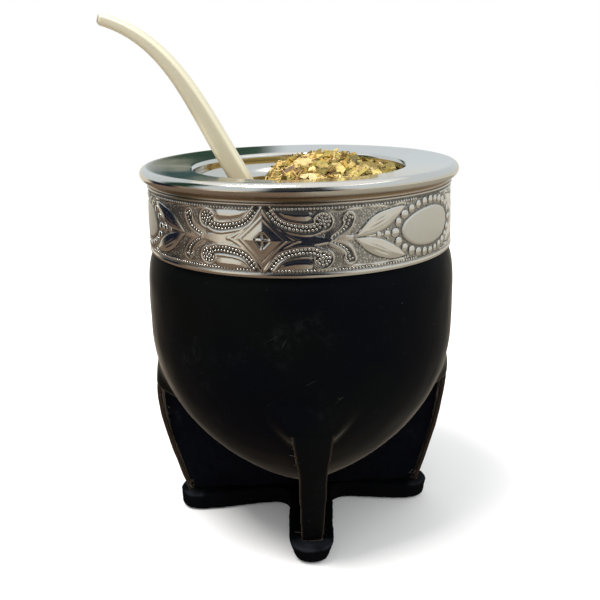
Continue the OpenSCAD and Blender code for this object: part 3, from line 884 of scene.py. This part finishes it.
def collar_band():
    """The chased band: a fine sheet whose relief follows the ornament, with its inside face."""
    angles = np.linspace(0, 360, 1121)[:-1]
    z = np.concatenate([np.linspace(BAND_FOOT, BAND_FOOT + 1.2, 5)[:-1],
                        np.linspace(BAND_FOOT + 1.2, BAND_TOP, 72)])
    grid_angle, grid_z = np.meshgrid(angles, z)
    turned = np.radians(grid_angle)
    place = np.stack([np.cos(turned) * 43, np.sin(turned) * 43, grid_z], -1)
    sway_s = 0.16 * ripple(place, 7, 31)
    sway_t = 0.14 * ripple(place, 6, 32)
    s = np.clip(fold(grid_angle) + sway_s, 0, HALF)
    t = np.abs(grid_z - BAND_MID + sway_t)
    work = chased(s, t)
    foot_line = BAND_FOOT + 1.45
    field = smooth((grid_z - foot_line) / 0.35)
    border = 0.10 + 0.06 * bump(grid_z - BAND_FOOT - 0.7, 0.9)
    height = mix(border, work.height, field)
    patina = mix(0.08, work.patina, field)
    line = bump(grid_z - foot_line - 0.1, 0.3)
    height = height - 0.16 * line
    patina = np.maximum(patina, 0.8 * line)
    top_line = bump(grid_z - (BAND_TOP - 0.35), 0.35)
    height = height + 0.10 * top_line
    hammered = 0.03 * ripple(place, 3.5, 33) * (1 - 0.8 * work.brushed)
    height = height + hammered + 0.06 * ripple(place, 16, 34)
    share = (grid_z - BAND_FOOT) / (BAND_TOP - BAND_FOOT)
    rounded = 0.35 * (1 - smooth((grid_z - BAND_FOOT) / 0.7)) ** 2
    radius = mix(BAND_R, BAND_TOP_R, share) - 0.05 + RELIEF * height - rounded
    outer = np.concatenate([radius[..., None] * around(grid_angle), grid_z[..., None]], -1)
    back = np.array([(BAND_TOP_R - SHEET_T, BAND_TOP), (BAND_R - SHEET_T, BAND_FOOT + 0.1)])
    inner = lathe_points(back, angles)
    points = np.concatenate([outer, inner]).reshape(-1, 3)
    extra = np.zeros(2 * len(angles))
    layers = {"patina": np.concatenate([patina.reshape(-1), extra]),
              "brushed": np.concatenate([work.brushed.reshape(-1), extra]),
              "stipple": np.concatenate([work.stipple.reshape(-1), extra])}
    faces = tube_faces(len(z) + 2, len(angles), ring_loop=True)
    make_piece("collar_band", points, faces, CHASED, ["collar"], layers)


def everywhere(spots):
    """Every copy of (s, t, radius) spots round the band, as (angle, height, radius).

    A spot that two half sectors share, or that lies on the band's middle line, is copied once.
    """
    copies = []
    for centre, rate in half_sectors():
        for s, t, r in spots:
            shared = s > HALF - 0.01 or s < 0.01
            if shared and rate < 0:
                continue
            for up in (1, -1):
                if t < 0.01 and up < 0:
                    continue
                copies.append((centre + s * rate, BAND_MID + up * t, r))
    return np.array(copies)


def domes(name, copies, lift, sink, seed):
    """Round domes on the band, each a little different, joined into one piece."""
    rng = np.random.default_rng(seed)
    sides, rings = 10, 4
    points, faces, patina = [], [], []
    for angle, z, size in copies:
        r = size * rng.uniform(0.9, 1.08)
        share = (z - BAND_FOOT) / (BAND_TOP - BAND_FOOT)
        base = mix(BAND_R, BAND_TOP_R, share) - 0.05 - sink
        first = len(points)
        flat = rng.uniform(0.92, 1.08)
        for j in range(rings):
            tilt = math.radians(90 * j / (rings - 0.4))
            q, up = r * math.cos(tilt), lift * r * math.sin(tilt)
            for k in range(sides):
                a = 2 * math.pi * k / sides
                turn = angle + math.degrees(q * flat * math.cos(a) / base)
                out = around(np.array(turn)) * (base + up)
                points.append((out[0], out[1], z + q / flat * math.sin(a)))
                # Painted shade: the dark ring at each dome's foot stands in for the groove round it,
                # which is not modelled.
                patina.append(0.75 if j == 0 else 0.0)
        faces.extend(capped_tube(rings, sides, first))
    points = np.array(points)
    layers = {"patina": patina, "brushed": np.zeros(len(points)), "stipple": np.zeros(len(points))}
    make_piece(name, points, faces, CHASED, ["collar"], layers)


def bead_spots():
    """Beads round each medallion, and the two that lead up to it."""
    quarter = np.radians(np.linspace(180, 90, 60))
    ring = np.stack([HALF + BEAD_RING[0] * np.cos(quarter), BEAD_RING[1] * np.sin(quarter)], -1)
    spots = [(s, t, mix(1.27, 1.1, smooth((s - 38) / 8))) for s, t in spaced(ring, 2.75)]
    return spots + [(s, 0.0, r) for s, r in LEADING_BEADS]


def dot_spots():
    """The small punched dots: in hooks, commas, edge rows and the ground by the medallions."""
    spots = []

    def add(s, t, r=DOT_R):
        if all(math.hypot(s - a, t - b) > 0.86 * (r + q) for a, b, q in spots):
            spots.append((s, t, r))

    for shift in (-0.46, 0.46):
        line = offset_back(HOOK, shift)
        for s, t in spaced(line[4:-6], 0.92):
            add(s, t)
    for count, r in ((1, 0.0), (6, 0.85), (11, 1.62)):
        for k in range(count):
            a = 2 * math.pi * k / count + r
            add(HOOK_HEAD[0] + r * math.cos(a), HOOK_HEAD[1] + r * math.sin(a))
    for s, t in spaced(COMMA, 0.9):
        add(s, t, SMALL_DOT_R)
    for k in range(6):
        a = math.pi * k / 3
        add(COMMA_HEAD[0] + 0.85 * math.cos(a), COMMA_HEAD[1] + 0.85 * math.sin(a), SMALL_DOT_R)
    for row in range(9):
        t = 7.55 - 0.8 * row
        for s in np.arange(2.2 + 0.4 * (row % 2), HALF, 0.88):
            at = np.array(s), np.array(t)
            if in_outline(*at, LEAF) > -0.25 or oval(*at, CHANNEL) < 1.03:
                continue
            off_hook = to_line(*at, HOOK)[0] > 1.3
            in_fan = s > 26 and in_outline(*at, FAN) > 0.25
            wanted = off_hook if row == 0 else in_fan
            if wanted:
                add(float(s), t, 0.37)
    return spots


# ---- Straw ----
# How far the straight part leans over for each millimetre down
STRAW_LEAN = 0.55
# Where the straw passes the lip's height and where it ends, as (x, z), with its bend's handles
STRAW_LIP = np.array([-19.4, CUP_TOP])
STRAW_TIP = STRAW_LIP + np.array([-33.9, 39.2])
STRAW_HANDLES = (STRAW_LIP + 17.8 * np.array([-STRAW_LEAN, 1]), STRAW_TIP + np.array([18, -5.2]))
STRAW_FOOT = box_mm("bombilla")[0][2] + 2.0
STRAW_WALL = 0.7
# Half the tube's width across and along its bend, at its foot and at the mouthpiece
STRAW_HALF = (3.0, 3.0)
MOUTHPIECE_HALF = (1.7, 3.7)
# How square the tube's round is
STRAW_SQUARE = 3.4


def straw_line(steps_straight, steps_bend):
    """Centre line of the straw as (x, z), and the share of its bend passed at each point."""
    z = np.linspace(STRAW_FOOT, CUP_TOP, steps_straight)
    straight = np.stack([STRAW_LIP[0] + STRAW_LEAN * (CUP_TOP - z), z], -1)
    t = np.linspace(0, 1, steps_bend)[1:, None]
    u = 1 - t
    bend = (u ** 3 * STRAW_LIP + 3 * u * u * t * STRAW_HANDLES[0] + 3 * u * t * t * STRAW_HANDLES[1]
            + t ** 3 * STRAW_TIP)
    share = np.concatenate([np.zeros(steps_straight), t[:, 0]])
    return np.concatenate([straight, bend]), share


def straw():
    """The hollow tube, flattened towards its mouthpiece, whose lip is rounded over."""
    line, share = straw_line(26, 96)
    d = np.gradient(line, axis=0)
    d /= np.linalg.norm(d, axis=1)[:, None]
    across = np.stack([d[:, 1], -d[:, 0]], -1)
    f = smooth(share)
    half_u = mix(STRAW_HALF[0], MOUTHPIECE_HALF[0], f)
    half_v = mix(STRAW_HALF[1], MOUTHPIECE_HALF[1], f)
    lengths = np.linalg.norm(np.diff(line, axis=0), axis=1)
    from_foot = np.concatenate([[0], np.cumsum(lengths)])
    from_tip = np.concatenate([np.cumsum(lengths[::-1])[::-1], [0]])
    c, s = rounded_square(48, STRAW_SQUARE)

    def ring(i, shrink):
        u, v = (half_u[i] - shrink) * c, (half_v[i] - shrink) * s
        return np.stack([line[i, 0] + across[i, 0] * u, v, line[i, 1] + across[i, 1] * u], -1)

    to_edge = np.clip(1 - from_tip / (STRAW_WALL / 2), 0, 1)
    rounded = STRAW_WALL / 2 * (1 - np.sqrt(1 - to_edge ** 2))
    up = list(range(len(line)))
    outside = [ring(i, rounded[i]) for i in up]
    inside = [ring(i, STRAW_WALL - rounded[i]) for i in up[::-1]]
    order = up + up[::-1]
    count = len(order) * len(c)
    flat = [np.tile(half_u.mean() * c, len(order)), np.tile(half_v.mean() * s, len(order))]
    along = np.stack(flat + [np.repeat(from_foot[order], len(c)), np.ones(count) / MM], -1) * MM
    faces = tube_faces(len(order), len(c), ring_loop=True)[:, ::-1]
    make_piece("straw", np.concatenate(outside + inside), faces, STRAW, ["bombilla"],
               {"along": along})


# ---- Herb ----
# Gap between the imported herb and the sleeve
HERB_GAP = 0.25
HEAP_R = MOUTH_R - HERB_GAP
# Top of the heap above the mouth's edge, and the low side's depth below it
HEAP_RISE = 3.9
HEAP_LOW = 13.0
# The dome: where its top is, its width and depth, and how far below the mouth's edge it starts
HEAP_TOP_X = 8.0
DOME_X = 17.0
DOME_Y = 19.0
DOME_DROP = 1.2
# How far the heap falls away behind its top
HEAP_FALL = 3.4
# The steep face between the two sides: its place at the back, its lead at the front, half its width
HEAP_FACE_X = -2.0
HEAP_LEAD = 9.0
HEAP_FACE_W = 6.0
# Thickness of the loose layer that lies on the core
LOOSE_DEPTH = 2.1
LIGHT_TINTS = ((0.62, 0.49, 0.23), (0.72, 0.60, 0.35), (0.52, 0.38, 0.12))
LEAF_TINTS = ((0.33, 0.245, 0.045), (0.23, 0.185, 0.038), (0.15, 0.13, 0.032), (0.44, 0.32, 0.075),
              (0.090, 0.078, 0.024), (0.19, 0.155, 0.040))
TWIG_TINTS = ((0.46, 0.34, 0.15), (0.24, 0.13, 0.07), (0.62, 0.52, 0.32))
# Large flakes by x, y, length, width, thickness, turn and tint
LARGE_FLAKES = (
    (1.0, -9.0, 5.0, 4.4, 0.30, 30, (0.60, 0.46, 0.21)),
    (6.0, -12.0, 4.6, 3.2, 0.16, -60, (0.30, 0.25, 0.06)),
    (4.0, -20.5, 7.4, 2.8, 1.00, -8, (0.74, 0.62, 0.33)),
    (11.0, -15.0, 3.8, 2.4, 0.90, 80, (0.62, 0.50, 0.18)),
    (19.0, -11.0, 5.2, 3.2, 0.16, -35, (0.24, 0.18, 0.06)),
    (25.0, -5.0, 4.0, 2.6, 0.16, 20, (0.20, 0.16, 0.045)),
    (-8.0, -19.0, 4.8, 3.0, 0.18, 15, (0.62, 0.46, 0.13)),
    (-4.5, -21.0, 4.2, 2.8, 0.18, -30, (0.46, 0.33, 0.08)),
    (15.0, -17.0, 4.0, 2.8, 0.16, 45, (0.36, 0.28, 0.07)),
    (-3.0, -14.0, 3.8, 2.6, 0.30, 60, (0.14, 0.08, 0.06)),
    (9.0, -4.0, 5.0, 3.6, 0.16, 10, (0.34, 0.27, 0.07)),
    (21.0, -16.0, 3.6, 2.4, 0.20, -70, (0.56, 0.44, 0.15)))
DARK_TINTS = ((0.075, 0.042, 0.034), (0.05, 0.035, 0.022), (0.15, 0.09, 0.045), (0.22, 0.17, 0.06))


def heap_z(x, y):
    """Height of the heap's top, low by the straw and domed on the other side."""
    dome = (HEAP_RISE + DOME_DROP) * np.exp(-((x - HEAP_TOP_X) / DOME_X) ** 2 - ((y - 1) / DOME_Y) ** 2)
    fall = HEAP_FALL * smooth((x - 13) / 10) * smooth((y + 4) / 12)
    high = MOUTH_Z - DOME_DROP + dome - fall
    low = MOUTH_Z - HEAP_LOW + 2.2 * np.clip(-y / MOUTH_R, 0, 1)
    face_x = HEAP_FACE_X - HEAP_LEAD * (1 - smooth((y - 6) / 12))
    share = smooth((x - face_x + HEAP_FACE_W) / (2 * HEAP_FACE_W))
    return mix(low, high, share) - LOOSE_DEPTH


def cavity_r(z):
    """Radius of the gourd's inside at a height."""
    wall = belly_r(np.clip(z - 5.8 * (z < 20), SOLE_T + 0.4, BAND_FOOT + 4)) - SKIN_T - 4.2
    return mix(np.clip(wall, 1, None), MOUTH_R + 1, smooth((z - 88.5) / 8))


def herb_core():
    """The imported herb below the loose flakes: a lumpy top and sides down into the gourd."""
    angles = np.linspace(0, 360, 181)[:-1]
    radii = np.linspace(0.3, HEAP_R, 62)
    rings = []
    for r in radii:
        flat = r * around(angles)
        z = heap_z(flat[:, 0], flat[:, 1]) - 1.25
        lumps = 0.75 * ripple(flat, 3.2, 61) + 0.35 * ripple(flat, 1.3, 62)
        squeezed = np.minimum(1, (sleeve_r(z + lumps) - HERB_GAP) / r)[:, None]
        rings.append(np.concatenate([flat * squeezed, (z + lumps)[:, None]], 1))
    edge_z = rings[-1][:, 2]
    for share in (0.4, 0.8):
        z = mix(edge_z, SLEEVE_END - 0.3, share)
        rings.append(np.concatenate([(sleeve_r(z) - HERB_GAP)[:, None] * around(angles), z[:, None]], 1))
    for z in np.concatenate([[SLEEVE_END - 0.4], np.linspace(SLEEVE_END - 3, 14, 16)]):
        r = sleeve_r(SLEEVE_END) - HERB_GAP if z > SLEEVE_END - 1 else cavity_r(np.array(z)) - 0.8
        rings.append(np.concatenate([r * around(angles), np.full((len(angles), 1), z)], 1))
    rings.append(np.concatenate([0.3 * around(angles), np.full((len(angles), 1), 13.5)], 1))
    points = np.concatenate(rings)
    shade = ripple(points, 2.4, 63)[:, None]
    tint = mix(np.array([0.085, 0.06, 0.03]), np.array([0.26, 0.20, 0.08]), smooth(0.5 + 0.6 * shade))
    faces = tube_faces(len(rings), len(angles), ring_loop=True)[:, ::-1]
    make_piece("herb_core", points, faces, HERB_CORE, ["yerba"],
               {"tint": np.concatenate([tint, np.ones((len(tint), 1))], 1)})


def heap_spots(rng, count, reach):
    """Random places on the heap, clear of the straw and of the sleeve."""
    found = []
    while len(found) < count:
        r = (HEAP_R - reach) * math.sqrt(rng.random())
        a = rng.uniform(0, 2 * math.pi)
        x, y = r * math.cos(a), r * math.sin(a)
        z = float(heap_z(x, y))
        straw_x = STRAW_LIP[0] + STRAW_LEAN * (CUP_TOP - z)
        if math.hypot(x - straw_x, y) > 3.2 + reach:
            found.append((x, y, z))
    return np.array(found)


def turned_frames(rng, spots, tilt):
    """For each spot three axes: along, across and up, leaning at random off the heap's slope."""
    step = 0.8
    x, y = spots[:, 0], spots[:, 1]
    dx = (heap_z(x + step, y) - heap_z(x - step, y)) / (2 * step)
    dy = (heap_z(x, y + step) - heap_z(x, y - step)) / (2 * step)
    up = np.stack([-dx, -dy, np.ones(len(spots))], -1)
    up /= np.linalg.norm(up, axis=1)[:, None]
    up = up + rng.normal(size=up.shape) * tilt
    up /= np.linalg.norm(up, axis=1)[:, None]
    along = np.cross(up, rng.normal(size=up.shape))
    along /= np.linalg.norm(along, axis=1)[:, None]
    return along, np.cross(up, along), up


def pick_tints(rng, tints, spots, per_piece):
    """A tint for each flake, golden by the straw and olive away from it, once for each of its points."""
    count = len(spots)
    chosen = np.array(tints)[rng.integers(0, len(tints), count)]
    chosen = chosen * rng.uniform(0.72, 1.25, (count, 1)) * rng.uniform(0.93, 1.07, (count, 3))
    far = smooth((spots[:, :1] - 2) / 18)
    chosen = chosen * mix(np.array([1.12, 1.0, 0.75]), np.array([0.84, 0.82, 0.60]), far)
    full = np.concatenate([np.clip(chosen, 0, 0.95), np.ones((count, 1))], 1)
    return np.repeat(full, per_piece, 0)


def keep_in_mouth(points):
    """Pulls points that would stand in the sleeve back inside it."""
    r = np.hypot(points[..., 0], points[..., 1])
    top = heap_z(points[..., 0], points[..., 1]) + LOOSE_DEPTH + 0.3
    over = np.clip(points[..., 2] - top, 0, None)
    points[..., 2] -= 0.7 * over
    limit = np.where(points[..., 2] < MOUTH_Z + 0.1, sleeve_r(points[..., 2]) - 0.12, MOUTH_R + 1.0)
    pull = np.minimum(1, limit / np.maximum(r, 1e-6))
    points[..., 0] *= pull
    points[..., 1] *= pull
    return points


def flake_sheets(name, rng, spots, axes, length, width, thick, curl, tints, rise):
    """Torn flat flakes, each a curled sheet with a ragged outline and its own thickness."""
    along, across, up = axes
    count = len(spots)
    cols, rows = 6, 4
    u, v = np.meshgrid(np.linspace(-1, 1, cols), np.linspace(-1, 1, rows), indexing="ij")
    u, v = u.reshape(-1), v.reshape(-1)
    rim = np.maximum(np.abs(u), np.abs(v)) > 0.99
    n = len(u)
    half_l, half_w = length[:, None] / 2, width[:, None] / 2
    narrow = 1 - rng.uniform(0.1, 0.7, (count, 1)) * np.abs(u)[None] ** 1.6
    lean = rng.normal(0, 0.35, (count, 1))
    x = half_l * (u[None] * (1 + rng.normal(0, 0.08, (count, n)) * rim[None]) + lean * v[None] * 0.6)
    y = half_w * v[None] * narrow * (1 + rng.normal(0, 0.11, (count, n)) * rim[None])
    bend = rng.normal(0, curl, (count, 1))
    roll = rng.normal(0, curl * 1.3, (count, 1))
    twist = rng.normal(0, 0.3, (count, 1))
    z = bend * x ** 2 / half_l + roll * y ** 2 / half_w + twist * x * y / half_l
    z = z + rng.normal(0, 0.06, (count, n)) + rise * rng.uniform(-0.6, 1.0, (count, 1))
    t = thick[:, None, None]
    centre = spots[:, None] + x[..., None] * along[:, None] + y[..., None] * across[:, None] \
        + z[..., None] * up[:, None]
    top = keep_in_mouth(centre + t / 2 * up[:, None])
    low = keep_in_mouth(centre - t / 2 * up[:, None])
    points = np.concatenate([top, low], 1).reshape(-1, 3)
    sheet = tube_faces(cols, rows, side_loop=False)
    number = np.arange(n).reshape(cols, rows)
    loop = [*number[:, 0], *number[-1, 1:], *number[-2::-1, -1], *number[0, -2:0:-1]]
    walls = [[a, a + n, b + n, b] for a, b in zip(loop, loop[1:] + loop[:1])]
    one = np.concatenate([sheet[:, ::-1], sheet + n, np.array(walls)])
    faces = (one[None] + (np.arange(count) * 2 * n)[:, None, None]).reshape(-1, 4)
    make_piece(name, points, faces, HERB, ["yerba"],
               {"tint": np.repeat(tints, 2 * n, 0)}, soft=False)


def thin_flakes(name, count, seed, length, width, thick, curl, tilt, tints, rise):
    """Flakes scattered over the heap at random."""
    rng = np.random.default_rng(seed)
    spots = heap_spots(rng, count, 1.2)
    flake_sheets(name, rng, spots, turned_frames(rng, spots, tilt), rng.uniform(*length, count),
                 rng.uniform(*width, count), rng.uniform(*thick, count), curl,
                 pick_tints(rng, tints, spots, 1), rise)


def large_flakes():
    """The few largest leaves and chips, which lie on top of the heap's near side."""
    rng = np.random.default_rng(87)
    rows = np.array([row[:-1] for row in LARGE_FLAKES])
    x, y, length, width, thick, turn = rows.T
    spots = np.stack([x, y, heap_z(x, y) + 1.0], -1)
    up = np.stack([rng.normal(0, 0.15, len(x)), -0.75 + rng.normal(0, 0.1, len(x)), np.ones(len(x))], -1)
    up /= np.linalg.norm(up, axis=1)[:, None]
    a = np.radians(turn)
    along = np.stack([np.cos(a), np.zeros(len(x)), np.sin(a)], -1)
    along -= (along * up).sum(1)[:, None] * up
    along /= np.linalg.norm(along, axis=1)[:, None]
    tints = np.array([(*row[-1], 1.0) for row in LARGE_FLAKES])
    flake_sheets("large_flakes", rng, spots, (along, np.cross(up, along), up), length, width, thick,
                 0.20, tints, 0.2)


def stems(name, count, seed, length, radius, tilt, tints, sides=6, rise=0.4):
    """Broken stems and slivers: short bent rods, thicker at one end."""
    rng = np.random.default_rng(seed)
    spots = heap_spots(rng, count, 1.6)
    along, across, up = turned_frames(rng, spots, tilt)
    steps = np.linspace(-1, 1, 5)
    half = rng.uniform(*length, count) / 2
    r = rng.uniform(*radius, count)
    flat = rng.uniform(0.4, 1.0, count)
    bend = rng.normal(0, 0.16, count)
    a = 2 * math.pi * np.arange(sides) / sides
    points = np.empty((count, len(steps), sides, 3))
    for j, f in enumerate(steps):
        grow = r * (1 - 0.25 * f) * rng.uniform(0.8, 1.1, count)
        centre = spots + (half * f)[:, None] * along + (bend * half * f * f + rise)[:, None] * up
        round_part = (grow[:, None] * np.cos(a))[..., None] * across[:, None] \
            + ((grow * flat)[:, None] * np.sin(a))[..., None] * up[:, None]
        points[:, j] = centre[:, None] + round_part
    points = keep_in_mouth(points).reshape(-1, 3)
    per = len(steps) * sides
    faces = []
    for i in range(count):
        faces.extend(capped_tube(len(steps), sides, i * per))
    make_piece(name, points, faces, HERB, ["yerba"],
                {"tint": pick_tints(rng, tints, spots, per)})


def crumbs(name, count, seed, size, tints):
    """Small angular crumbs between the flakes."""
    rng = np.random.default_rng(seed)
    spots = heap_spots(rng, count, 0.5)
    along, across, up = turned_frames(rng, spots, 0.5)
    corners = np.array([(1, 0, 0), (0, 1, 0), (-1, 0, 0), (0, -1, 0), (0, 0, 0.6), (0, 0, -0.6)])
    local = corners[None] * rng.uniform(*size, (count, 1, 1)) / 2 * rng.uniform(0.6, 1.4, (count, 6, 1))
    points = spots[:, None] + local[..., :1] * along[:, None] + local[..., 1:2] * across[:, None] \
        + (local[..., 2:] + rng.uniform(-0.7, 0.4, (count, 1, 1))) * up[:, None]
    points = keep_in_mouth(points).reshape(-1, 3)
    over = [(k, (k + 1) % 4, 4) for k in range(4)]
    under = [((k + 1) % 4, k, 5) for k in range(4)]
    one = np.array(over + under)
    faces = (one[None] + (np.arange(count) * 6)[:, None, None]).reshape(-1, 3)
    make_piece(name, points, faces, HERB, ["yerba"],
               {"tint": pick_tints(rng, tints, spots, 6)}, soft=False)


# ---- Floor, light and camera ----
def only_mirrored(obj):
    """Seen by polished surfaces, and by nothing else."""
    obj.visible_camera = False
    obj.visible_diffuse = False
    obj.visible_shadow = False
    obj.visible_transmission = False
    obj.visible_volume_scatter = False


def stage_object(name, points, faces, material):
    """Links a plain object of the studio, given in metres."""
    mesh = bpy.data.meshes.new(name)
    mesh.from_pydata(np.asarray(points, float).tolist(), [], np.asarray(faces).tolist())
    mesh.materials.append(material)
    obj = bpy.data.objects.new(name, mesh)
    bpy.context.scene.collection.objects.link(obj)
    return obj


def disc(radius, z, sides=64):
    """Points and the one face of a flat round plate."""
    rim = around(np.linspace(0, 360, sides + 1)[:-1]) * radius
    return np.concatenate([rim, np.full((sides, 1), z)], 1), [list(range(sides))]


def plain_floor():
    f = Finish("pale_floor", roughness=0.9)
    at = f.place()
    f.set(Base_Color=f.blend(f.noise(at, 400.0), (0.93, 0.93, 0.93), (0.91, 0.91, 0.91)))
    reach = f.node("ShaderNodeVectorMath", {"operation": "LENGTH"}, {0: at}, out="Value")
    white = f.node("ShaderNodeEmission", None, {"Color": (1.0, 1.0, 1.0)})
    faded = f.node("ShaderNodeMixShader", None, {
        0: f.step(reach, 0.22, 0.75), 1: Value(f, f.shader.outputs[0]), 2: white})
    f.tree.links.new(faded.socket, f.tree.nodes["Material Output"].inputs["Surface"])
    floor = stage_object("floor", *disc(60.0, -0.0002, 128), f.material)
    floor.visible_glossy = False


def glow(f, colour, strength=1.0):
    """Turns a finish into a plain emitter of a colour."""
    emitter = f.node("ShaderNodeEmission", None, {"Color": colour, "Strength": strength})
    output = f.tree.nodes["Material Output"]
    f.tree.links.new(emitter.socket, output.inputs["Surface"])
    return f.material


NAVY = (0.010, 0.013, 0.026)
BRONZE = (0.34, 0.26, 0.20)
BEIGE = (0.80, 0.74, 0.61)
PALE = (0.72, 0.70, 0.62)
SKY = (0.70, 0.76, 0.80)
GREEN = (0.020, 0.055, 0.035)
SLATE = (0.046, 0.049, 0.047)
TEAL = (0.014, 0.062, 0.072)
SAND = (0.42, 0.42, 0.34)


# Fields round the wall, by angle from the front: near the table, and higher up
LOW_FIELDS = (
    (-180, BEIGE), (-128, BEIGE), (-118, NAVY), (-94, NAVY),
    (-84, BRONZE), (-70, BRONZE), (-56, BEIGE), (-40, BEIGE),
    (-28, BRONZE), (-20, NAVY), (20, NAVY), (27, BRONZE),
    (40, PALE), (180, PALE))
HIGH_FIELDS = (
    (-180, SKY), (-150, SKY), (-110, SKY), (-100, GREEN),
    (-80, GREEN), (-66, SKY), (-30, SKY), (-18, SLATE),
    (14, SLATE), (30, SKY), (180, SKY))
# Fields of the left back stretch from low to high, by share of its height
STACKED_FIELDS = (
    (0.25, SAND), (0.275, SAND), (0.295, GREEN), (0.33, TEAL), (0.385, TEAL),
    (0.405, SAND), (0.445, SAND), (0.465, GREEN), (0.62, GREEN), (0.75, SKY))
WALL_R = 0.42
WALL_H = 0.55


def turn_stops(stops):
    """Ramp stops from (angle from the front, colour), the angle running from -180 to 180."""
    return [((angle + 180) / 360, colour) for angle, colour in stops]


def mirrored_wall():
    """The room that the metal mirrors: a ring wall with pale and dark fields."""
    f = Finish("mirrored_wall")
    at = f.place()
    x, y, z = (f.node("ShaderNodeSeparateXYZ", None, {0: at}, out=k) for k in range(3))
    turn = f.node("ShaderNodeMath", {"operation": "ARCTAN2"}, {0: x, 1: 0 - y})
    share = turn / (2 * math.pi) + 0.5
    low = f.ramp(share, turn_stops(LOW_FIELDS))
    high = f.ramp(share, turn_stops(HIGH_FIELDS))
    lifted = f.step(z, 0.10, 0.16)
    mottled = z / 0.4 + 0.09 * (f.noise(at, 55.0, 4.0, 0.6) - 0.5)
    stack = f.ramp(mottled, STACKED_FIELDS)
    left_back = f.step(share, 0.052, 0.036) * f.step(share, 0.002, 0.011) * f.step(z, 0.095, 0.105)
    sides = 96
    heights = np.linspace(-0.001, WALL_H, 12)
    points = np.concatenate([disc(WALL_R, h, sides)[0] for h in heights])
    wall = stage_object("mirrored_wall", points, tube_faces(len(heights), sides),
                        glow(f, f.blend(left_back, f.blend(lifted, low, high), stack)))
    only_mirrored(wall)


def mirrored_table():
    """The table top that the metal mirrors, browner on the left."""
    f = Finish("mirrored_table")
    x = f.node("ShaderNodeSeparateXYZ", None, {0: f.place()}, out=0)
    brown = f.blend(f.step(x, -0.02, 0.05), (0.215, 0.155, 0.112), (0.44, 0.40, 0.33))
    table = stage_object("mirrored_table", *disc(WALL_R + 0.01, -0.0004), glow(f, brown))
    only_mirrored(table)


def soft_light(name, at, target, size, power, colour):
    lamp = bpy.data.lights.new(name, "AREA")
    lamp.size = size
    lamp.energy = power
    lamp.color = colour
    obj = bpy.data.objects.new(name, lamp)
    bpy.context.scene.collection.objects.link(obj)
    obj.location = at
    ahead = Vector(target) - Vector(at)
    obj.rotation_euler = ahead.to_track_quat("-Z", "Y").to_euler()


def white_room():
    world = bpy.data.worlds.new("white_room")
    bpy.context.scene.world = world
    world.use_nodes = True
    sky = world.node_tree.nodes["Background"]
    sky.inputs["Color"].default_value = (1.0, 1.0, 1.0, 1.0)
    sky.inputs["Strength"].default_value = 1.0


def camera():
    """A view from a little above the rim, level with the front leg."""
    lens = bpy.data.cameras.new("camera")
    lens.sensor_width = 36.0
    lens.lens = 47.7
    obj = bpy.data.objects.new("camera", lens)
    bpy.context.scene.collection.objects.link(obj)
    tilt = Matrix.Rotation(math.radians(90 - 16.85), 4, "X")
    roll = Matrix.Rotation(-0.020, 4, "Z")
    obj.matrix_world = Matrix.Translation((-0.00047, -0.22904, 0.1355)) @ tilt @ roll
    bpy.context.scene.camera = obj


POLISHED = polished_metal()
CHASED = chased_metal()
STRAW = straw_metal()
LEATHER = smooth_leather()
SUEDE = suede()
SOLE = sole_leather()
FIBRE = fibre()
HERB = herb("dry_herb_flakes", 0.05)
HERB_CORE = herb("dry_herb_ground", 0.3)

camera()
white_room()
plain_floor()
mirrored_wall()
mirrored_table()
soft_light("key", (-0.22, -0.12, 0.80), (0, 0, 0.10), 0.30, 6.0, (1.0, 0.98, 0.95))
soft_light("fill", (0.6, -0.3, 0.5), (0, 0, 0.08), 0.6, 1.5, (0.96, 0.98, 1.0))

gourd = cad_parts["gourd"]
gourd.data.materials.clear()
gourd.data.materials.append(dried_gourd())

leather_belly()
for number, side in enumerate(SIDES):
    skin_strip(side, 100 + number)
    suede_leg(side, 200 + number)
cross_sole()
frayed_fibres()
collar_rim()
collar_band()
domes("collar_beads", everywhere(bead_spots()), 0.26, 0.10, 41)
domes("collar_dots", everywhere(dot_spots()), 0.50, 0.10, 42)
straw()
herb_core()
thin_flakes("leaf_flakes", 900, 81, (1.8, 5.8), (1.3, 3.6), (0.08, 0.2), 0.22, 0.34, LEAF_TINTS, 0.7)
large_flakes()
thin_flakes("pale_flakes", 190, 82, (2.0, 5.2), (1.2, 3.2), (0.3, 0.9), 0.12, 0.34, LIGHT_TINTS, 0.9)
thin_flakes("dark_flakes", 560, 83, (1.0, 3.2), (0.7, 1.9), (0.1, 0.25), 0.3, 0.50, DARK_TINTS, 0.8)
stems("stems", 220, 84, (2.0, 6.0), (0.18, 0.5), 0.3, TWIG_TINTS, 6, 0.7)
stems("pale_slivers", 330, 85, (1.4, 4.2), (0.08, 0.18), 0.40, LIGHT_TINTS, 4, 1.1)
crumbs("crumbs", 3600, 86, (0.5, 1.4), LEAF_TINTS + DARK_TINTS + DARK_TINTS)

bpy.context.scene.view_settings.view_transform = "Standard"
